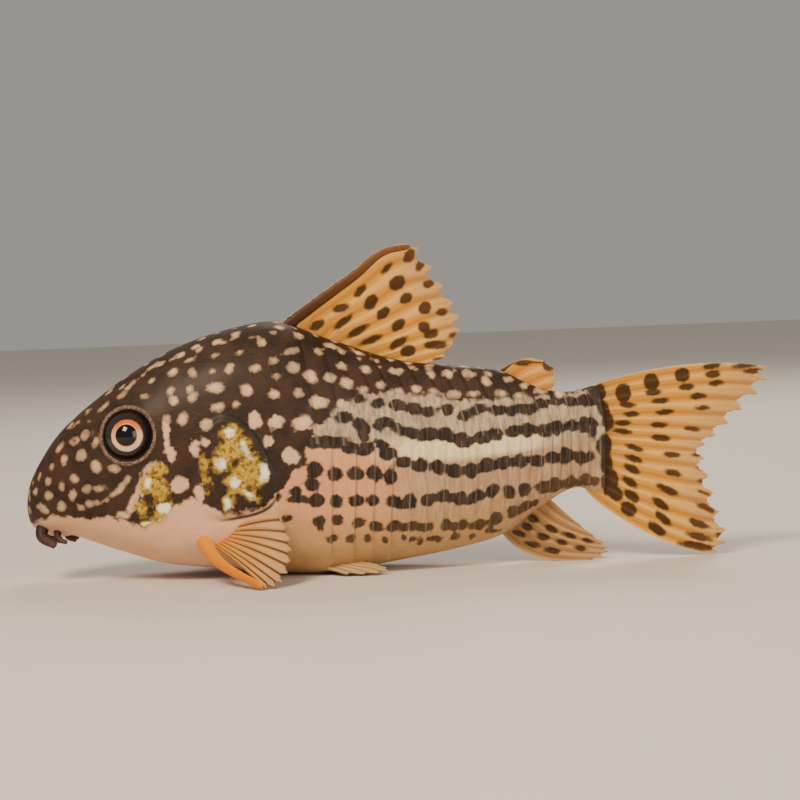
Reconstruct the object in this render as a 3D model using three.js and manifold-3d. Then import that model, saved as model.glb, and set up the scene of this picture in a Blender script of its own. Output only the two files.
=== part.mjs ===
// A corydoras catfish at life size, resting on its fins and belly.
// Millimetres, +Z up, the floor at Z 0. The snout points to -X and the fish's left side to -Y.
import * as THREE from "three";
import { mergeVertices } from "three/addons/utils/BufferGeometryUtils.js";
import Module from "manifold-3d";

const wasm = await Module();
wasm.setup();

// Driving dimensions
const snoutX = -35.85;
const headEndX = -11.2;
const tailStartX = 9.2;
const bodyEndX = 18.6;
const seam = 0.3;
const floorZ = 0;
const bodySides = 40;
const headStations = 21;

// Outlines in side view as [x, height], and the half width in top view as [x, half width]
const backLine = [
  [snoutX, 7.2],
  [-35.4, 9.5],
  [-34.4, 11.4],
  [-32.6, 13.9],
  [-28.8, 17.15],
  [-25.7, 19.3],
  [-20.8, 21.85],
  [-15.4, 23.45],
  [-11.3, 23.85],
  [-6.4, 22.0],
  [0.2, 19.75],
  [5.6, 19.0],
  [9.7, 18.35],
  [13.4, 16.55],
  [16.0, 16.1],
  [bodyEndX, 16.6],
];
const bellyLine = [
  [snoutX, 7.2],
  [-35.4, 5.3],
  [-34.2, 4.75],
  [-31.2, 4.2],
  [-27.0, 2.7],
  [-22.6, 1.4],
  [-17.0, 0.75],
  [-11.0, 0.1],
  [-7.0, -0.1],
  [-2.1, 0.55],
  [6.5, 1.95],
  [9.5, 2.85],
  [13.4, 5.45],
  [16.6, 6.95],
  [bodyEndX, 6.2],
];
const widthLine = [
  [snoutX, 0],
  [-35.3, 1.75],
  [-34.2, 2.9],
  [-32.0, 4.1],
  [-29.0, 5.2],
  [-24.0, 6.45],
  [-18.0, 7.35],
  [-13.0, 7.45],
  [-7.0, 6.75],
  [0.0, 5.5],
  [6.0, 4.1],
  [11.0, 2.8],
  [15.5, 1.65],
  [bodyEndX, 0.75],
];
const widestLevel = [
  [snoutX, 0.5],
  [-30.0, 0.42],
  [-20.0, 0.36],
  [-8.0, 0.36],
  [2.0, 0.42],
  [bodyEndX, 0.5],
];
const backSquareness = [
  [snoutX, 2.1],
  [-24.0, 2.3],
  [-8.0, 2.15],
  [bodyEndX, 2.2],
];
const bellySquareness = [
  [snoutX, 2.1],
  [-28.0, 2.5],
  [-14.0, 3.3],
  [4.0, 2.6],
  [bodyEndX, 2.2],
];

// Bony side plates: two rows on each flank, which overlap backwards and shorten towards the tail
const plates = {
  count: 22,
  firstX: -11.9,
  firstPitch: 1.82,
  lastPitch: 0.98,
  lift: 0.24,
  lateralLine: 0.3,
  backSlant: 3.2,
  bellySlant: 1.2,
  step: 0.1,
  lateralGroove: 0.14,
  grooveWidth: 0.09,
  blendFrom: -16,
  blendTo: -7,
};

const eye = {
  x: -25.4,
  z: 13.95,
  radius: 2.8,
  out: 0.85,
  looks: [-0.1, -1, 0.14],
  pupilDome: 0.3,
  pupilWidth: 0.42,
  rim: 2.85,
  rimThickness: 0.28,
};
const gillCover = {
  outline: [
    [-18.9, 14.6],
    [-16.2, 15.5],
    [-14.1, 14.2],
    [-12.5, 11.6],
    [-11.6, 9.0],
    [-12.6, 7.0],
    [-15.4, 6.2],
    [-18.6, 6.2],
    [-20.2, 8.4],
    [-20.1, 11.6],
  ],
  segments: 26,
  lift: 0.3,
  depth: 0.6,
};
const nostrils = {
  frontX: -30.75,
  frontZ: 13.5,
  rearX: -29.4,
  rearZ: 14.05,
  radius: 0.42,
  frontFlap: 0.6,
  rearFlap: 0.28,
  sink: 0.6,
};
const mouth = { x: -33.0, z: 4.75, halfWidth: 1.75, length: 2.2, lip: 0.46, opening: 0.5 };

const membrane = { root: 0.27, tip: 0.17, ray: 0.14, notch: 0.07 };

const dorsalFin = {
  rays: 8,
  baseFront: [-10.3, 22.4],
  baseRear: [0.6, 18.8],
  edge: [
    [2.4, 30.65],
    [4.2, 27.3],
    [5.8, 24.4],
    [5.9, 22.0],
    [4.4, 19.8],
  ],
  spineLine: [
    [-11.2, 22.7],
    [-8.4, 24.85],
    [-3.8, 27.95],
    [-1.1, 29.95],
    [1.6, 30.5],
  ],
  spineRadius: 0.78,
  bow: 0.95,
  wave: 0.35,
};
const adiposeFin = {
  rays: 4,
  baseFront: [9.4, 17.6],
  baseRear: [13.9, 15.9],
  edge: [
    [13.9, 19.1],
    [14.75, 18.4],
    [14.95, 17.3],
    [14.55, 16.3],
  ],
  spineLine: [
    [9.0, 17.7],
    [11.4, 19.0],
    [14.0, 19.0],
  ],
  spineRadius: 0.36,
  bow: 0.75,
};
const tailFin = {
  rays: 14,
  baseTop: [17.3, 15.9],
  baseBottom: [17.3, 6.9],
  edge: [
    [35.6, 17.4],
    [34.5, 15.7],
    [32.2, 13.4],
    [30.2, 11.4],
    [28.7, 9.95],
    [29.2, 7.4],
    [29.8, 4.6],
    [30.7, 1.9],
    [29.9, 0.4],
  ],
  topBow: 1.5,
  bottomBow: -1.6,
  wave: 0.5,
  forkEdge: 4,
  forkRoot: [18, 11.3],
};
const analFin = {
  rays: 7,
  baseFront: [9.0, 3.4],
  baseRear: [13.5, 6.4],
  edge: [
    [17.9, -0.1],
    [19.4, 0.7],
    [18.9, 1.6],
    [16.7, 3.3],
  ],
  bow: -1.6,
  lean: -0.7,
};
const pectoralFin = {
  rays: 9,
  base: [
    [-17.7, -6.4, 3.4],
    [-16.2, -6.6, 4.9],
  ],
  edge: [
    [-12.7, -13.5, 0.12],
    [-11.3, -12.7, 0.6],
    [-10.5, -11.2, 2.3],
    [-10.5, -9.6, 4.2],
    [-11.4, -8.2, 6.4],
  ],
  spineLine: [
    [-18.9, -6.2, 4.2],
    [-17.0, -9.6, 2.1],
    [-13.0, -13.9, 0.12],
  ],
  spineRadius: 0.78,
  outBow: -0.5,
  upBow: 0.25,
};
const pelvicFin = {
  rays: 6,
  base: [
    [-10.4, -2.6, 0.8],
    [-9.2, -3.6, 1.2],
  ],
  edge: [
    [-5.6, -6.2, 0.1],
    [-3.0, -6.4, 0.1],
    [-1.6, -5.7, 0.35],
    [-2.6, -4.6, 0.8],
  ],
  upBow: 0.3,
};
const barbels = {
  upper: {
    line: [
      [-34.3, -1.2, 5.4],
      [-34.35, -1.95, 4.35],
      [-33.0, -2.25, 3.45],
    ],
    root: 0.7,
    end: 0.34,
  },
  lower: {
    line: [
      [-32.9, -1.4, 5.0],
      [-32.75, -2.3, 4.2],
      [-31.9, -2.7, 3.85],
    ],
    root: 0.46,
    end: 0.26,
  },
  chin: {
    line: [
      [-32.2, -0.7, 4.7],
      [-32.0, -0.9, 4.15],
      [-31.2, -1.05, 3.85],
    ],
    root: 0.42,
    end: 0.26,
  },
};

const colours = {
  back: 0x4a3732,
  flank: 0x8d7668,
  tail: 0x7f6a62,
  gill: 0xa8823f,
  iris: 0xc98a4a,
  fin: 0xd9a85c,
  spine: 0x8a5a36,
  pectoral: 0xf07d10,
  barbel: 0x5d4540,
};

// A smooth line through [position, value] pairs. Near the snout it follows the square root of the distance,
// which is what makes a nose round.
const fromSnout = (x) => Math.sqrt(Math.max(0, x - snoutX));
function lineThrough(pairs) {
  const places = pairs.map(([x]) => fromSnout(x));
  const values = pairs.map(([, value]) => value);
  const interpolant = new THREE.CubicInterpolant(places, values, 1, new Float64Array(1));
  return (along) => interpolant.evaluate(Math.min(Math.max(along, places[0]), places.at(-1)))[0];
}
const backAt = lineThrough(backLine);
const bellyAt = lineThrough(bellyLine);
const widthAt = lineThrough(widthLine);
const levelAt = lineThrough(widestLevel);
const backPowerAt = lineThrough(backSquareness);
const bellyPowerAt = lineThrough(bellySquareness);

const smooth = (from, to, x) => THREE.MathUtils.smoothstep(x, from, to);

// Where each side plate ends, from front to tail
const plateEdges = [];
for (let k = 0, x = plates.firstX; k <= plates.count; k++) {
  plateEdges.push(x);
  x += THREE.MathUtils.lerp(plates.firstPitch, plates.lastPitch, k / plates.count);
}

// How high the plates stand at a place along the body, from 0 just behind one edge to 1 at the next
function plateRise(x) {
  const next = plateEdges.findIndex((edge) => edge > x - 1e-6);
  if (next < 1) return 0;
  return (x - plateEdges[next - 1]) / (plateEdges[next] - plateEdges[next - 1]);
}

// The plates reach furthest back at the lateral line, where the two rows meet
function plateSlant(x, angle) {
  const line = plates.lateralLine;
  const above = Math.max(0, angle - line) / (Math.PI / 2 - line);
  const below = Math.max(0, line - angle) / (Math.PI / 2 + line);
  const slant = plates.backSlant * (1 - above ** 1.2) - plates.bellySlant * below;
  return slant * smooth(plates.blendFrom, plates.blendTo, x) * (1 - 0.75 * smooth(6, bodyEndX, x));
}

// A point of the body's skin. angle is -90 degrees at the belly, 0 at the widest level and 90 at the back.
function bodyPoint(along, angle, side, relief) {
  const ring = snoutX + along * along;
  const x = ring + plateSlant(ring, angle);
  const place = fromSnout(x);
  const top = backAt(place);
  const bottom = bellyAt(place);
  const level = bottom + (top - bottom) * levelAt(place);
  const power = angle > 0 ? backPowerAt(place) : bellyPowerAt(place);
  const rise = Math.sin(angle);
  const across = Math.cos(angle);
  const reach = (Math.abs(rise) ** power + across ** power) ** (-1 / power);
  const height = angle > 0 ? top - level : level - bottom;
  let y = widthAt(place) * across * reach;
  let z = level + height * rise * reach;
  if (relief) {
    const onFlank = smooth(-1.25, -0.75, angle) * (1 - smooth(1.2, 1.5, angle));
    const fromLine = (angle - plates.lateralLine) / plates.grooveWidth;
    const depth = plates.lateralGroove * smooth(plates.firstX, plates.firstX + 3, ring);
    const lift = plates.lift * onFlank * plateRise(ring) - depth * Math.exp(-(fromLine ** 2));
    y += lift * across;
    z += lift * rise;
  }
  return new THREE.Vector3(x, side * y, z);
}

// The outward direction of the skin at a point, from two short steps along it
function bodyNormal(along, angle, side) {
  const step = 0.02;
  const place = Math.max(along, 0.1);
  const skin = (x, turn) => bodyPoint(x, turn, side, false);
  const lengthwise = skin(place + step, angle).sub(skin(place - step, angle));
  const above = skin(place, Math.min(angle + step, Math.PI / 2));
  const around = above.sub(skin(place, Math.max(angle - step, -Math.PI / 2)));
  return around.cross(lengthwise).multiplyScalar(side).normalize();
}

// Places of the body's rings, as square roots of their distance from the snout: even over the head, and
// two at each plate's edge
function bodyStations(relief) {
  const headEnd = fromSnout(plates.firstX - 0.6);
  const stations = [];
  for (let i = 1; i <= headStations; i++) stations.push((headEnd * i) / headStations);
  const last = fromSnout(bodyEndX);
  if (relief) {
    for (const edge of plateEdges) {
      if (edge + plates.step < bodyEndX) stations.push(fromSnout(edge), fromSnout(edge + plates.step));
    }
  } else {
    for (let i = 1; i < plates.count; i++) stations.push(headEnd + ((last - headEnd) * i) / plates.count);
  }
  stations.push(last);
  return stations;
}

// Solids

function solidOf(geometry, tolerance = 1e-4) {
  const bare = geometry.clone();
  bare.deleteAttribute("normal");
  bare.deleteAttribute("uv");
  const merged = mergeVertices(bare, tolerance);
  const mesh = new wasm.Mesh({
    numProp: 3,
    vertProperties: merged.attributes.position.array,
    triVerts: new Uint32Array(merged.index.array),
  });
  return new wasm.Manifold(mesh);
}

function geometryOf(solid) {
  const mesh = solid.getMesh();
  const geometry = new THREE.BufferGeometry();
  geometry.setAttribute("position", new THREE.BufferAttribute(new Float32Array(mesh.vertProperties), 3));
  geometry.setIndex(new THREE.BufferAttribute(mesh.triVerts, 1));
  return geometry;
}

const largest = (solid) => solid.decompose().reduce((a, b) => (b.volume() > a.volume() ? b : a));

function solidFrom(points, triangles) {
  const geometry = new THREE.BufferGeometry();
  const places = points.flatMap((point) => point.toArray());
  geometry.setAttribute("position", new THREE.Float32BufferAttribute(places, 3));
  geometry.setIndex(triangles);
  const solid = solidOf(geometry);
  if (solid.volume() > 0) return solid;
  geometry.setIndex(triangles.toReversed());
  return solidOf(geometry);
}

// A solid through rings of points, closed by a point at the start and at the end
function loft(start, rings, end) {
  const sides = rings[0].length;
  const points = [start, ...rings.flat(), end];
  const triangles = [];
  const at = (ring, side) => 1 + ring * sides + (side % sides);
  for (let side = 0; side < sides; side++) {
    triangles.push(0, at(0, side + 1), at(0, side));
    triangles.push(points.length - 1, at(rings.length - 1, side), at(rings.length - 1, side + 1));
    for (let ring = 0; ring + 1 < rings.length; ring++) {
      triangles.push(at(ring, side), at(ring, side + 1), at(ring + 1, side));
      triangles.push(at(ring, side + 1), at(ring + 1, side + 1), at(ring + 1, side));
    }
  }
  return solidFrom(points, triangles);
}

// The whole body as one solid, grown by an offset and by more over the plates.
// Its end face runs straight across from side to side.
function bodySolid(offset, relief, overPlates = 0) {
  const half = bodySides / 2;
  const points = [new THREE.Vector3(snoutX - offset, 0, backLine[0][1])];
  const triangles = [];
  const stations = bodyStations(relief);
  stations.forEach((along) => {
    for (let i = 0; i < bodySides; i++) {
      const side = i <= half ? -1 : 1;
      const turn = i <= half ? i / half : (bodySides - i) / half;
      const angle = (turn - 0.5) * Math.PI;
      const point = bodyPoint(along, angle, side, relief);
      if (i % half === 0) point.y = 0;
      const growth = offset + overPlates * smooth(-12, -10, point.x);
      if (growth) point.addScaledVector(bodyNormal(along, angle, side), growth);
      if (i % half === 0) point.y = 0;
      if (along === stations.at(-1)) point.x += offset;
      points.push(point);
    }
  });
  const at = (ring, i) => 1 + ring * bodySides + ((i + bodySides) % bodySides);
  const last = stations.length - 1;
  for (let i = 0; i < bodySides; i++) {
    triangles.push(0, at(0, i + 1), at(0, i));
    for (let ring = 0; ring < last; ring++) {
      triangles.push(at(ring, i), at(ring, i + 1), at(ring + 1, i));
      triangles.push(at(ring, i + 1), at(ring + 1, i + 1), at(ring + 1, i));
    }
  }
  for (let i = 0; i < half; i++) {
    const a = at(last, i);
    const b = at(last, i + 1);
    const c = at(last, bodySides - i - 1);
    const d = at(last, bodySides - i);
    if (d !== a) triangles.push(a, b, d);
    if (b !== c) triangles.push(b, c, d);
  }
  return solidFrom(points, triangles);
}

function boxSolid(low, high) {
  const size = high.map((value, i) => value - low[i]);
  const geometry = new THREE.BoxGeometry(...size);
  geometry.translate(...low.map((value, i) => value + size[i] / 2));
  return solidOf(geometry);
}

function sphereSolid(centre, radius, around = 28, down = 18) {
  const geometry = new THREE.SphereGeometry(radius, around, down);
  geometry.translate(...centre);
  return solidOf(geometry);
}

// A round, tapering rod along a curve. squash flattens it from side to side, and grow thickens it all round.
function rodSolid(points, rootRadius, endRadius, { sides = 8, steps = 8, squash = 1, grow = 0 } = {}) {
  const curve = new THREE.CatmullRomCurve3(points.map((p) => new THREE.Vector3(...p)));
  const rings = [];
  for (let i = 0; i <= steps; i++) {
    const t = i / steps;
    const centre = curve.getPointAt(t);
    const ahead = curve.getTangentAt(t);
    const sideways = new THREE.Vector3(0, 1, 0).addScaledVector(ahead, -ahead.y).normalize();
    const upwards = new THREE.Vector3().crossVectors(ahead, sideways);
    const blunt = i === 0 ? 0.6 : i === steps ? 0.55 : 1;
    const radius = THREE.MathUtils.lerp(rootRadius, endRadius, t ** 0.8) * blunt;
    rings.push(
      Array.from({ length: sides }, (_, k) => {
        const angle = (2 * Math.PI * k) / sides;
        return centre
          .clone()
          .addScaledVector(sideways, (radius * squash + grow) * Math.cos(angle))
          .addScaledVector(upwards, (radius + grow) * Math.sin(angle));
      }),
    );
  }
  const start = curve.getPointAt(0).addScaledVector(curve.getTangentAt(0), -0.4 * rootRadius - grow);
  const end = curve.getPointAt(1).addScaledVector(curve.getTangentAt(1), 0.5 * endRadius + grow);
  return loft(start, rings, end);
}

// A thin curved sheet about a grid of points, with the same triangles on both faces
function sheetSolid(grid, halfThickness) {
  const columns = grid.length;
  const rows = grid[0].length;
  const clamp = (value, top) => Math.min(Math.max(value, 0), top);
  const faces = [[], []];
  for (let i = 0; i < columns; i++) {
    for (let j = 0; j < rows; j++) {
      const across = grid[clamp(i + 1, columns - 1)][j].clone().sub(grid[clamp(i - 1, columns - 1)][j]);
      const along = grid[i][clamp(j + 1, rows - 1)].clone().sub(grid[i][clamp(j - 1, rows - 1)]);
      const normal = across.cross(along).normalize();
      faces[0].push(grid[i][j].clone().addScaledVector(normal, halfThickness[i][j]));
      faces[1].push(grid[i][j].clone().addScaledVector(normal, -halfThickness[i][j]));
    }
  }
  const points = faces.flat();
  const at = (face, i, j) => face * columns * rows + i * rows + j;
  const triangles = [];
  const quad = (a, b, c, d) => triangles.push(a, b, c, a, c, d);
  for (let i = 0; i + 1 < columns; i++) {
    for (let j = 0; j + 1 < rows; j++) {
      quad(at(0, i, j), at(0, i + 1, j), at(0, i + 1, j + 1), at(0, i, j + 1));
      const back = [at(1, i, j), at(1, i + 1, j), at(1, i + 1, j + 1), at(1, i, j + 1)];
      triangles.push(back[0], back[2], back[1], back[0], back[3], back[2]);
    }
  }
  for (let i = 0; i + 1 < columns; i++) {
    quad(at(1, i, 0), at(1, i + 1, 0), at(0, i + 1, 0), at(0, i, 0));
    quad(at(0, i, rows - 1), at(0, i + 1, rows - 1), at(1, i + 1, rows - 1), at(1, i, rows - 1));
  }
  for (let j = 0; j + 1 < rows; j++) {
    quad(at(0, 0, j), at(0, 0, j + 1), at(1, 0, j + 1), at(1, 0, j));
    quad(at(1, columns - 1, j), at(1, columns - 1, j + 1), at(0, columns - 1, j + 1), at(0, columns - 1, j));
  }
  return solidFrom(points, triangles);
}

// A fin: rays fan from base to edge, and stand out as ridges from the membrane between them.
// Both base and edge are curves, and bend moves a point sideways or up, by its ray and its place along it.
function finSolid({ rays, base, edge, bend, steps = 7, thin = 1 }) {
  const grid = [];
  const halfThickness = [];
  const columns = 2 * rays - 1;
  for (let i = 0; i < columns; i++) {
    const ray = i / (columns - 1);
    const onRay = i % 2 === 0;
    const root = base.getPoint(ray);
    const tip = edge.getPoint(ray);
    const points = [];
    const thickness = [];
    for (let j = 0; j <= steps; j++) {
      const place = j / steps;
      const reach = place * (onRay ? 1 : 1 - membrane.notch);
      points.push(root.clone().lerp(tip, reach).add(bend(ray, reach)));
      const web = THREE.MathUtils.lerp(membrane.root, membrane.tip, place ** 2) * thin;
      thickness.push(onRay ? web + membrane.ray * (1 - 0.6 * place) : web);
    }
    grid.push(points);
    halfThickness.push(thickness);
  }
  return sheetSolid(grid, halfThickness);
}

const inMidplane = ([x, z]) => new THREE.Vector3(x, 0, z);
const curveThrough = (points) => new THREE.CatmullRomCurve3(points);
const placedCurve = (points) => curveThrough(points.map((p) => new THREE.Vector3(...p)));
const midplaneCurve = (points) => curveThrough(points.map(inMidplane));
const halfWave = (reach) => Math.sin(Math.PI * Math.min(1, Math.max(0, reach)));
const turned = (from, to) => new THREE.Quaternion().setFromUnitVectors(from, to);
const mirrored = (solid) => solid.mirror([0, 1, 0]);

// The body grown by the seam, which every piece that grows from it is cut by
const body = bodySolid(0, true);
const aroundBody = bodySolid(seam, false, plates.lift * 0.8);
const underFloor = boxSolid([-60, -40, -20], [60, 40, floorZ]);
const offBody = (solid) => largest(solid.subtract(aroundBody).subtract(underFloor));

// Head

// The gill cover's outline as a block that runs through the side of the head, grown by an offset
function gillOutline(grow) {
  const corners = gillCover.outline.map((p) => new THREE.Vector2(...p));
  const middle = new THREE.Vector2();
  corners.forEach((corner) => middle.addScaledVector(corner, 1 / corners.length));
  const curve = new THREE.SplineCurve([...corners, corners[0]]);
  const points = curve.getSpacedPoints(gillCover.segments).slice(0, -1);
  points.forEach((point) => point.addScaledVector(point.clone().sub(middle).normalize(), grow));
  const geometry = new THREE.ExtrudeGeometry(new THREE.Shape(points), { depth: 12, bevelEnabled: false });
  geometry.rotateX(Math.PI / 2);
  geometry.translate(0, -0.5, 0);
  return solidOf(geometry);
}

function gillCoverLeft() {
  const outer = bodySolid(gillCover.lift, false);
  const inner = bodySolid(-gillCover.depth, false);
  return largest(gillOutline(0).intersect(outer).subtract(inner));
}

function gillRecessLeft() {
  return gillOutline(seam).subtract(bodySolid(-gillCover.depth - seam, false));
}

const eyeDirection = new THREE.Vector3(...eye.looks).normalize();
const eyeCentre = () => leftSkin(eye.x, eye.z).addScaledVector(eyeDirection, eye.out - eye.radius);

// The point of the left side's skin at a place along the body and a height
function leftSkin(x, z) {
  const along = fromSnout(x);
  let low = -Math.PI / 2;
  let high = Math.PI / 2;
  for (let i = 0; i < 40; i++) {
    const middle = (low + high) / 2;
    if (bodyPoint(along, middle, 1, false).z < z) low = middle;
    else high = middle;
  }
  return bodyPoint(along, low, -1, false);
}

// A ball about the eye's centre, with the pupil's dome on its outer face. Its poles lie along the way
// it looks.
function eyeBall(radius, dome, around, down) {
  const profile = [];
  for (let i = down; i >= 0; i--) {
    const angle = (Math.PI * i) / down;
    const away = radius + dome * Math.exp(-((angle / eye.pupilWidth) ** 2));
    profile.push(new THREE.Vector2(away * Math.sin(angle), away * Math.cos(angle)));
  }
  const geometry = new THREE.LatheGeometry(profile, around);
  geometry.applyQuaternion(turned(new THREE.Vector3(0, 1, 0), eyeDirection));
  geometry.translate(...eyeCentre().toArray());
  return solidOf(geometry);
}

const eyeLeft = () => eyeBall(eye.radius, eye.pupilDome, 22, 13);
const eyeSocketLeft = () => eyeBall(eye.radius + seam * 1.1, 0, 22, 10);

// The raised skin round the eye, a ring that follows the side of the head
function eyeRimLeft() {
  const corners = 22;
  const ring = [];
  for (let i = 0; i < corners; i++) {
    const angle = (2 * Math.PI * i) / corners;
    ring.push(leftSkin(eye.x + eye.rim * Math.cos(angle), eye.z + eye.rim * Math.sin(angle)));
  }
  const curve = new THREE.CatmullRomCurve3(ring, true);
  return solidOf(new THREE.TubeGeometry(curve, corners, eye.rimThickness, 6, true));
}

// A nostril's raised rim or flap, and the pit in it
function nostrilLeft(x, z, flap) {
  const outwards = new THREE.Vector3(-0.35, -0.75, 0.55).normalize();
  const root = leftSkin(x, z);
  const at = (distance) => root.clone().addScaledVector(outwards, distance).toArray();
  const { radius, sink } = nostrils;
  const rimLine = [at(-sink), at(flap * 0.5), at(flap)];
  const pitLine = [at(-sink * 0.75), at(flap * 0.5), at(flap + sink)];
  return {
    rim: rodSolid(rimLine, radius * 1.5, radius * 1.15, { sides: 10, steps: 4 }),
    pit: rodSolid(pitLine, radius * 0.6, radius * 0.75, { sides: 8, steps: 3 }),
  };
}

// The two lips, grown by an offset
function lips(offset = 0) {
  const { x, z, halfWidth, length } = mouth;
  const lip = mouth.lip + offset;
  const upper = rodSolid(
    [
      [x + length * 0.45, -halfWidth, z + 0.1],
      [x - length * 0.25, -halfWidth * 0.85, z - 0.05],
      [x - length * 0.5, 0, z - 0.05],
      [x - length * 0.25, halfWidth * 0.85, z - 0.05],
      [x + length * 0.45, halfWidth, z + 0.1],
    ],
    lip,
    lip,
    { sides: 7, steps: 12 },
  );
  const lower = rodSolid(
    [
      [x + length * 0.5, -halfWidth * 0.95, z - 0.1],
      [x + length * 0.28, -halfWidth * 0.5, z - 0.32],
      [x + length * 0.2, 0, z - 0.36],
      [x + length * 0.28, halfWidth * 0.5, z - 0.32],
      [x + length * 0.5, halfWidth * 0.95, z - 0.1],
    ],
    lip * 0.9,
    lip * 0.9,
    { sides: 7, steps: 10 },
  );
  return upper.add(lower);
}

// The opening between the lips
function mouthSlit() {
  const { x, z, halfWidth, length } = mouth;
  return sphereSolid([0, 0, 0], 1, 14, 8)
    .scale([length * 0.24, halfWidth * 0.85, mouth.opening])
    .rotate([0, 20, 0])
    .translate([x - length * 0.12, 0, z - 0.5]);
}

function headSolid(front) {
  const frontNostril = nostrilLeft(nostrils.frontX, nostrils.frontZ, nostrils.frontFlap);
  const rearNostril = nostrilLeft(nostrils.rearX, nostrils.rearZ, nostrils.rearFlap);
  const rims = frontNostril.rim.add(rearNostril.rim).add(eyeRimLeft());
  const pits = frontNostril.pit.add(rearNostril.pit);
  const hollows = eyeSocketLeft().add(gillRecessLeft()).add(pits);
  return largest(
    front
      .add(lips())
      .subtract(mouthSlit())
      .add(rims)
      .add(mirrored(rims))
      .subtract(hollows)
      .subtract(mirrored(hollows)),
  );
}

const barbelRod = ({ line, root, end }, offset = 0) => rodSolid(line, root, end, { steps: 7, grow: offset });
const barbelLeft = (barbel, keepOff) => largest(barbelRod(barbel).subtract(keepOff).subtract(underFloor));

// Fins

function dorsalFinSolid() {
  const { rays, baseFront, baseRear, edge, bow, wave } = dorsalFin;
  const sheet = finSolid({
    rays,
    base: midplaneCurve([baseFront, baseRear]),
    edge: midplaneCurve(edge),
    bend: (ray, reach) => {
      const lift = bow * halfWave(reach) * (1 - ray) ** 2;
      return new THREE.Vector3(0, wave * reach * halfWave(ray), lift);
    },
    steps: 8,
  });
  return offBody(sheet.subtract(spineSolid(dorsalFin, seam)));
}

// A fin's front spine, grown by an offset
function spineSolid({ spineLine, spineRadius }, offset = 0) {
  const line = spineLine.map(([x, z]) => [x, 0, z]);
  return rodSolid(line, spineRadius, spineRadius * 0.35, { steps: 9, squash: 0.62, grow: offset });
}

function adiposeFinSolid() {
  const { rays, baseFront, baseRear, edge, bow } = adiposeFin;
  const sheet = finSolid({
    rays,
    base: midplaneCurve([baseFront, baseRear]),
    edge: midplaneCurve(edge),
    bend: (ray, reach) => new THREE.Vector3(0, 0, bow * halfWave(reach) * (1 - ray) ** 2),
    steps: 4,
  });
  return offBody(sheet.subtract(spineSolid(adiposeFin, seam)));
}

function tailFinSolid() {
  const { rays, baseTop, baseBottom, edge, topBow, bottomBow, wave } = tailFin;
  return finSolid({
    rays,
    base: midplaneCurve([baseTop, baseBottom]),
    edge: midplaneCurve(edge),
    bend: (ray, reach) => {
      const bow = (ray < 0.5 ? topBow : bottomBow) * Math.abs(2 * ray - 1) ** 1.3;
      return new THREE.Vector3(0, wave * reach ** 2 * Math.sin(5 * ray), bow * halfWave(reach) ** 0.6);
    },
    steps: 9,
  });
}

function tailLobes() {
  const whole = offBody(tailFinSolid());
  const fork = inMidplane(tailFin.edge[tailFin.forkEdge]);
  const towards = fork.clone().sub(inMidplane(tailFin.forkRoot));
  const slot = new THREE.BoxGeometry(towards.length() * 2.2, 8, seam);
  slot.rotateY(Math.atan2(-towards.z, towards.x));
  slot.translate(fork.x, 0, fork.z);
  const pieces = whole.subtract(solidOf(slot)).decompose();
  const height = (solid) => (solid.boundingBox().min[2] + solid.boundingBox().max[2]) / 2;
  return pieces
    .sort((a, b) => b.volume() - a.volume())
    .slice(0, 2)
    .sort((a, b) => height(b) - height(a));
}

function analFinSolid() {
  const { rays, baseFront, baseRear, edge, bow, lean } = analFin;
  const sheet = finSolid({
    rays,
    base: midplaneCurve([baseFront, baseRear]),
    edge: midplaneCurve(edge),
    bend: (ray, reach) => {
      const drop = bow * halfWave(reach ** 0.7) * (1 - ray) ** 0.7;
      return new THREE.Vector3(0, lean * reach ** 2 * (1 - ray), drop);
    },
    steps: 7,
  });
  return offBody(sheet);
}

const pectoralSpineLeft = (offset = 0) =>
  rodSolid(pectoralFin.spineLine, pectoralFin.spineRadius, pectoralFin.spineRadius * 0.5, {
    sides: 9,
    steps: 9,
    squash: 0.8,
    grow: offset,
  });

function pectoralFinLeft() {
  const { rays, base, edge, outBow, upBow } = pectoralFin;
  const sheet = finSolid({
    rays,
    base: placedCurve(base),
    edge: placedCurve(edge),
    bend: (ray, reach) => new THREE.Vector3(0, outBow * halfWave(reach), upBow * halfWave(reach)),
    steps: 7,
  });
  return offBody(sheet.subtract(pectoralSpineLeft(seam)));
}

function pelvicFinLeft() {
  const { rays, base, edge, upBow } = pelvicFin;
  const sheet = finSolid({
    rays,
    base: placedCurve(base),
    edge: placedCurve(edge),
    bend: (ray, reach) => new THREE.Vector3(0, 0, upBow * halfWave(reach)),
    steps: 6,
  });
  return offBody(sheet);
}

// The finished fish

const cutAcross = (x) => boxSolid([x - seam / 2, -30, -10], [x + seam / 2, 30, 60]);
const bodyParts = body
  .subtract(cutAcross(headEndX))
  .subtract(cutAcross(tailStartX))
  .subtract(underFloor)
  .decompose()
  .sort((a, b) => b.volume() - a.volume())
  .slice(0, 3)
  .sort((a, b) => a.boundingBox().min[0] - b.boundingBox().min[0]);

const head = headSolid(bodyParts[0]);
const aroundMouth = aroundBody.add(lips(seam * 1.2));
const upperBarbel = barbelLeft(barbels.upper, aroundMouth);
const lowerBarbel = barbelLeft(barbels.lower, aroundMouth.add(barbelRod(barbels.upper, seam)));
const chinBarbel = barbelLeft(barbels.chin, aroundMouth);
const [upperLobe, lowerLobe] = tailLobes();

const paint = (color, roughness = 0.45) => new THREE.MeshStandardMaterial({ color, roughness, metalness: 0 });
const skinPaint = paint(colours.back);
const flankPaint = paint(colours.flank);
const tailPaint = paint(colours.tail);
const gillPaint = paint(colours.gill, 0.3);
const eyePaint = paint(colours.iris, 0.1);
const finPaint = paint(colours.fin, 0.5);
const spinePaint = paint(colours.spine);
const orangePaint = paint(colours.pectoral);
const barbelPaint = paint(colours.barbel);

const fish = new THREE.Group();

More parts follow.
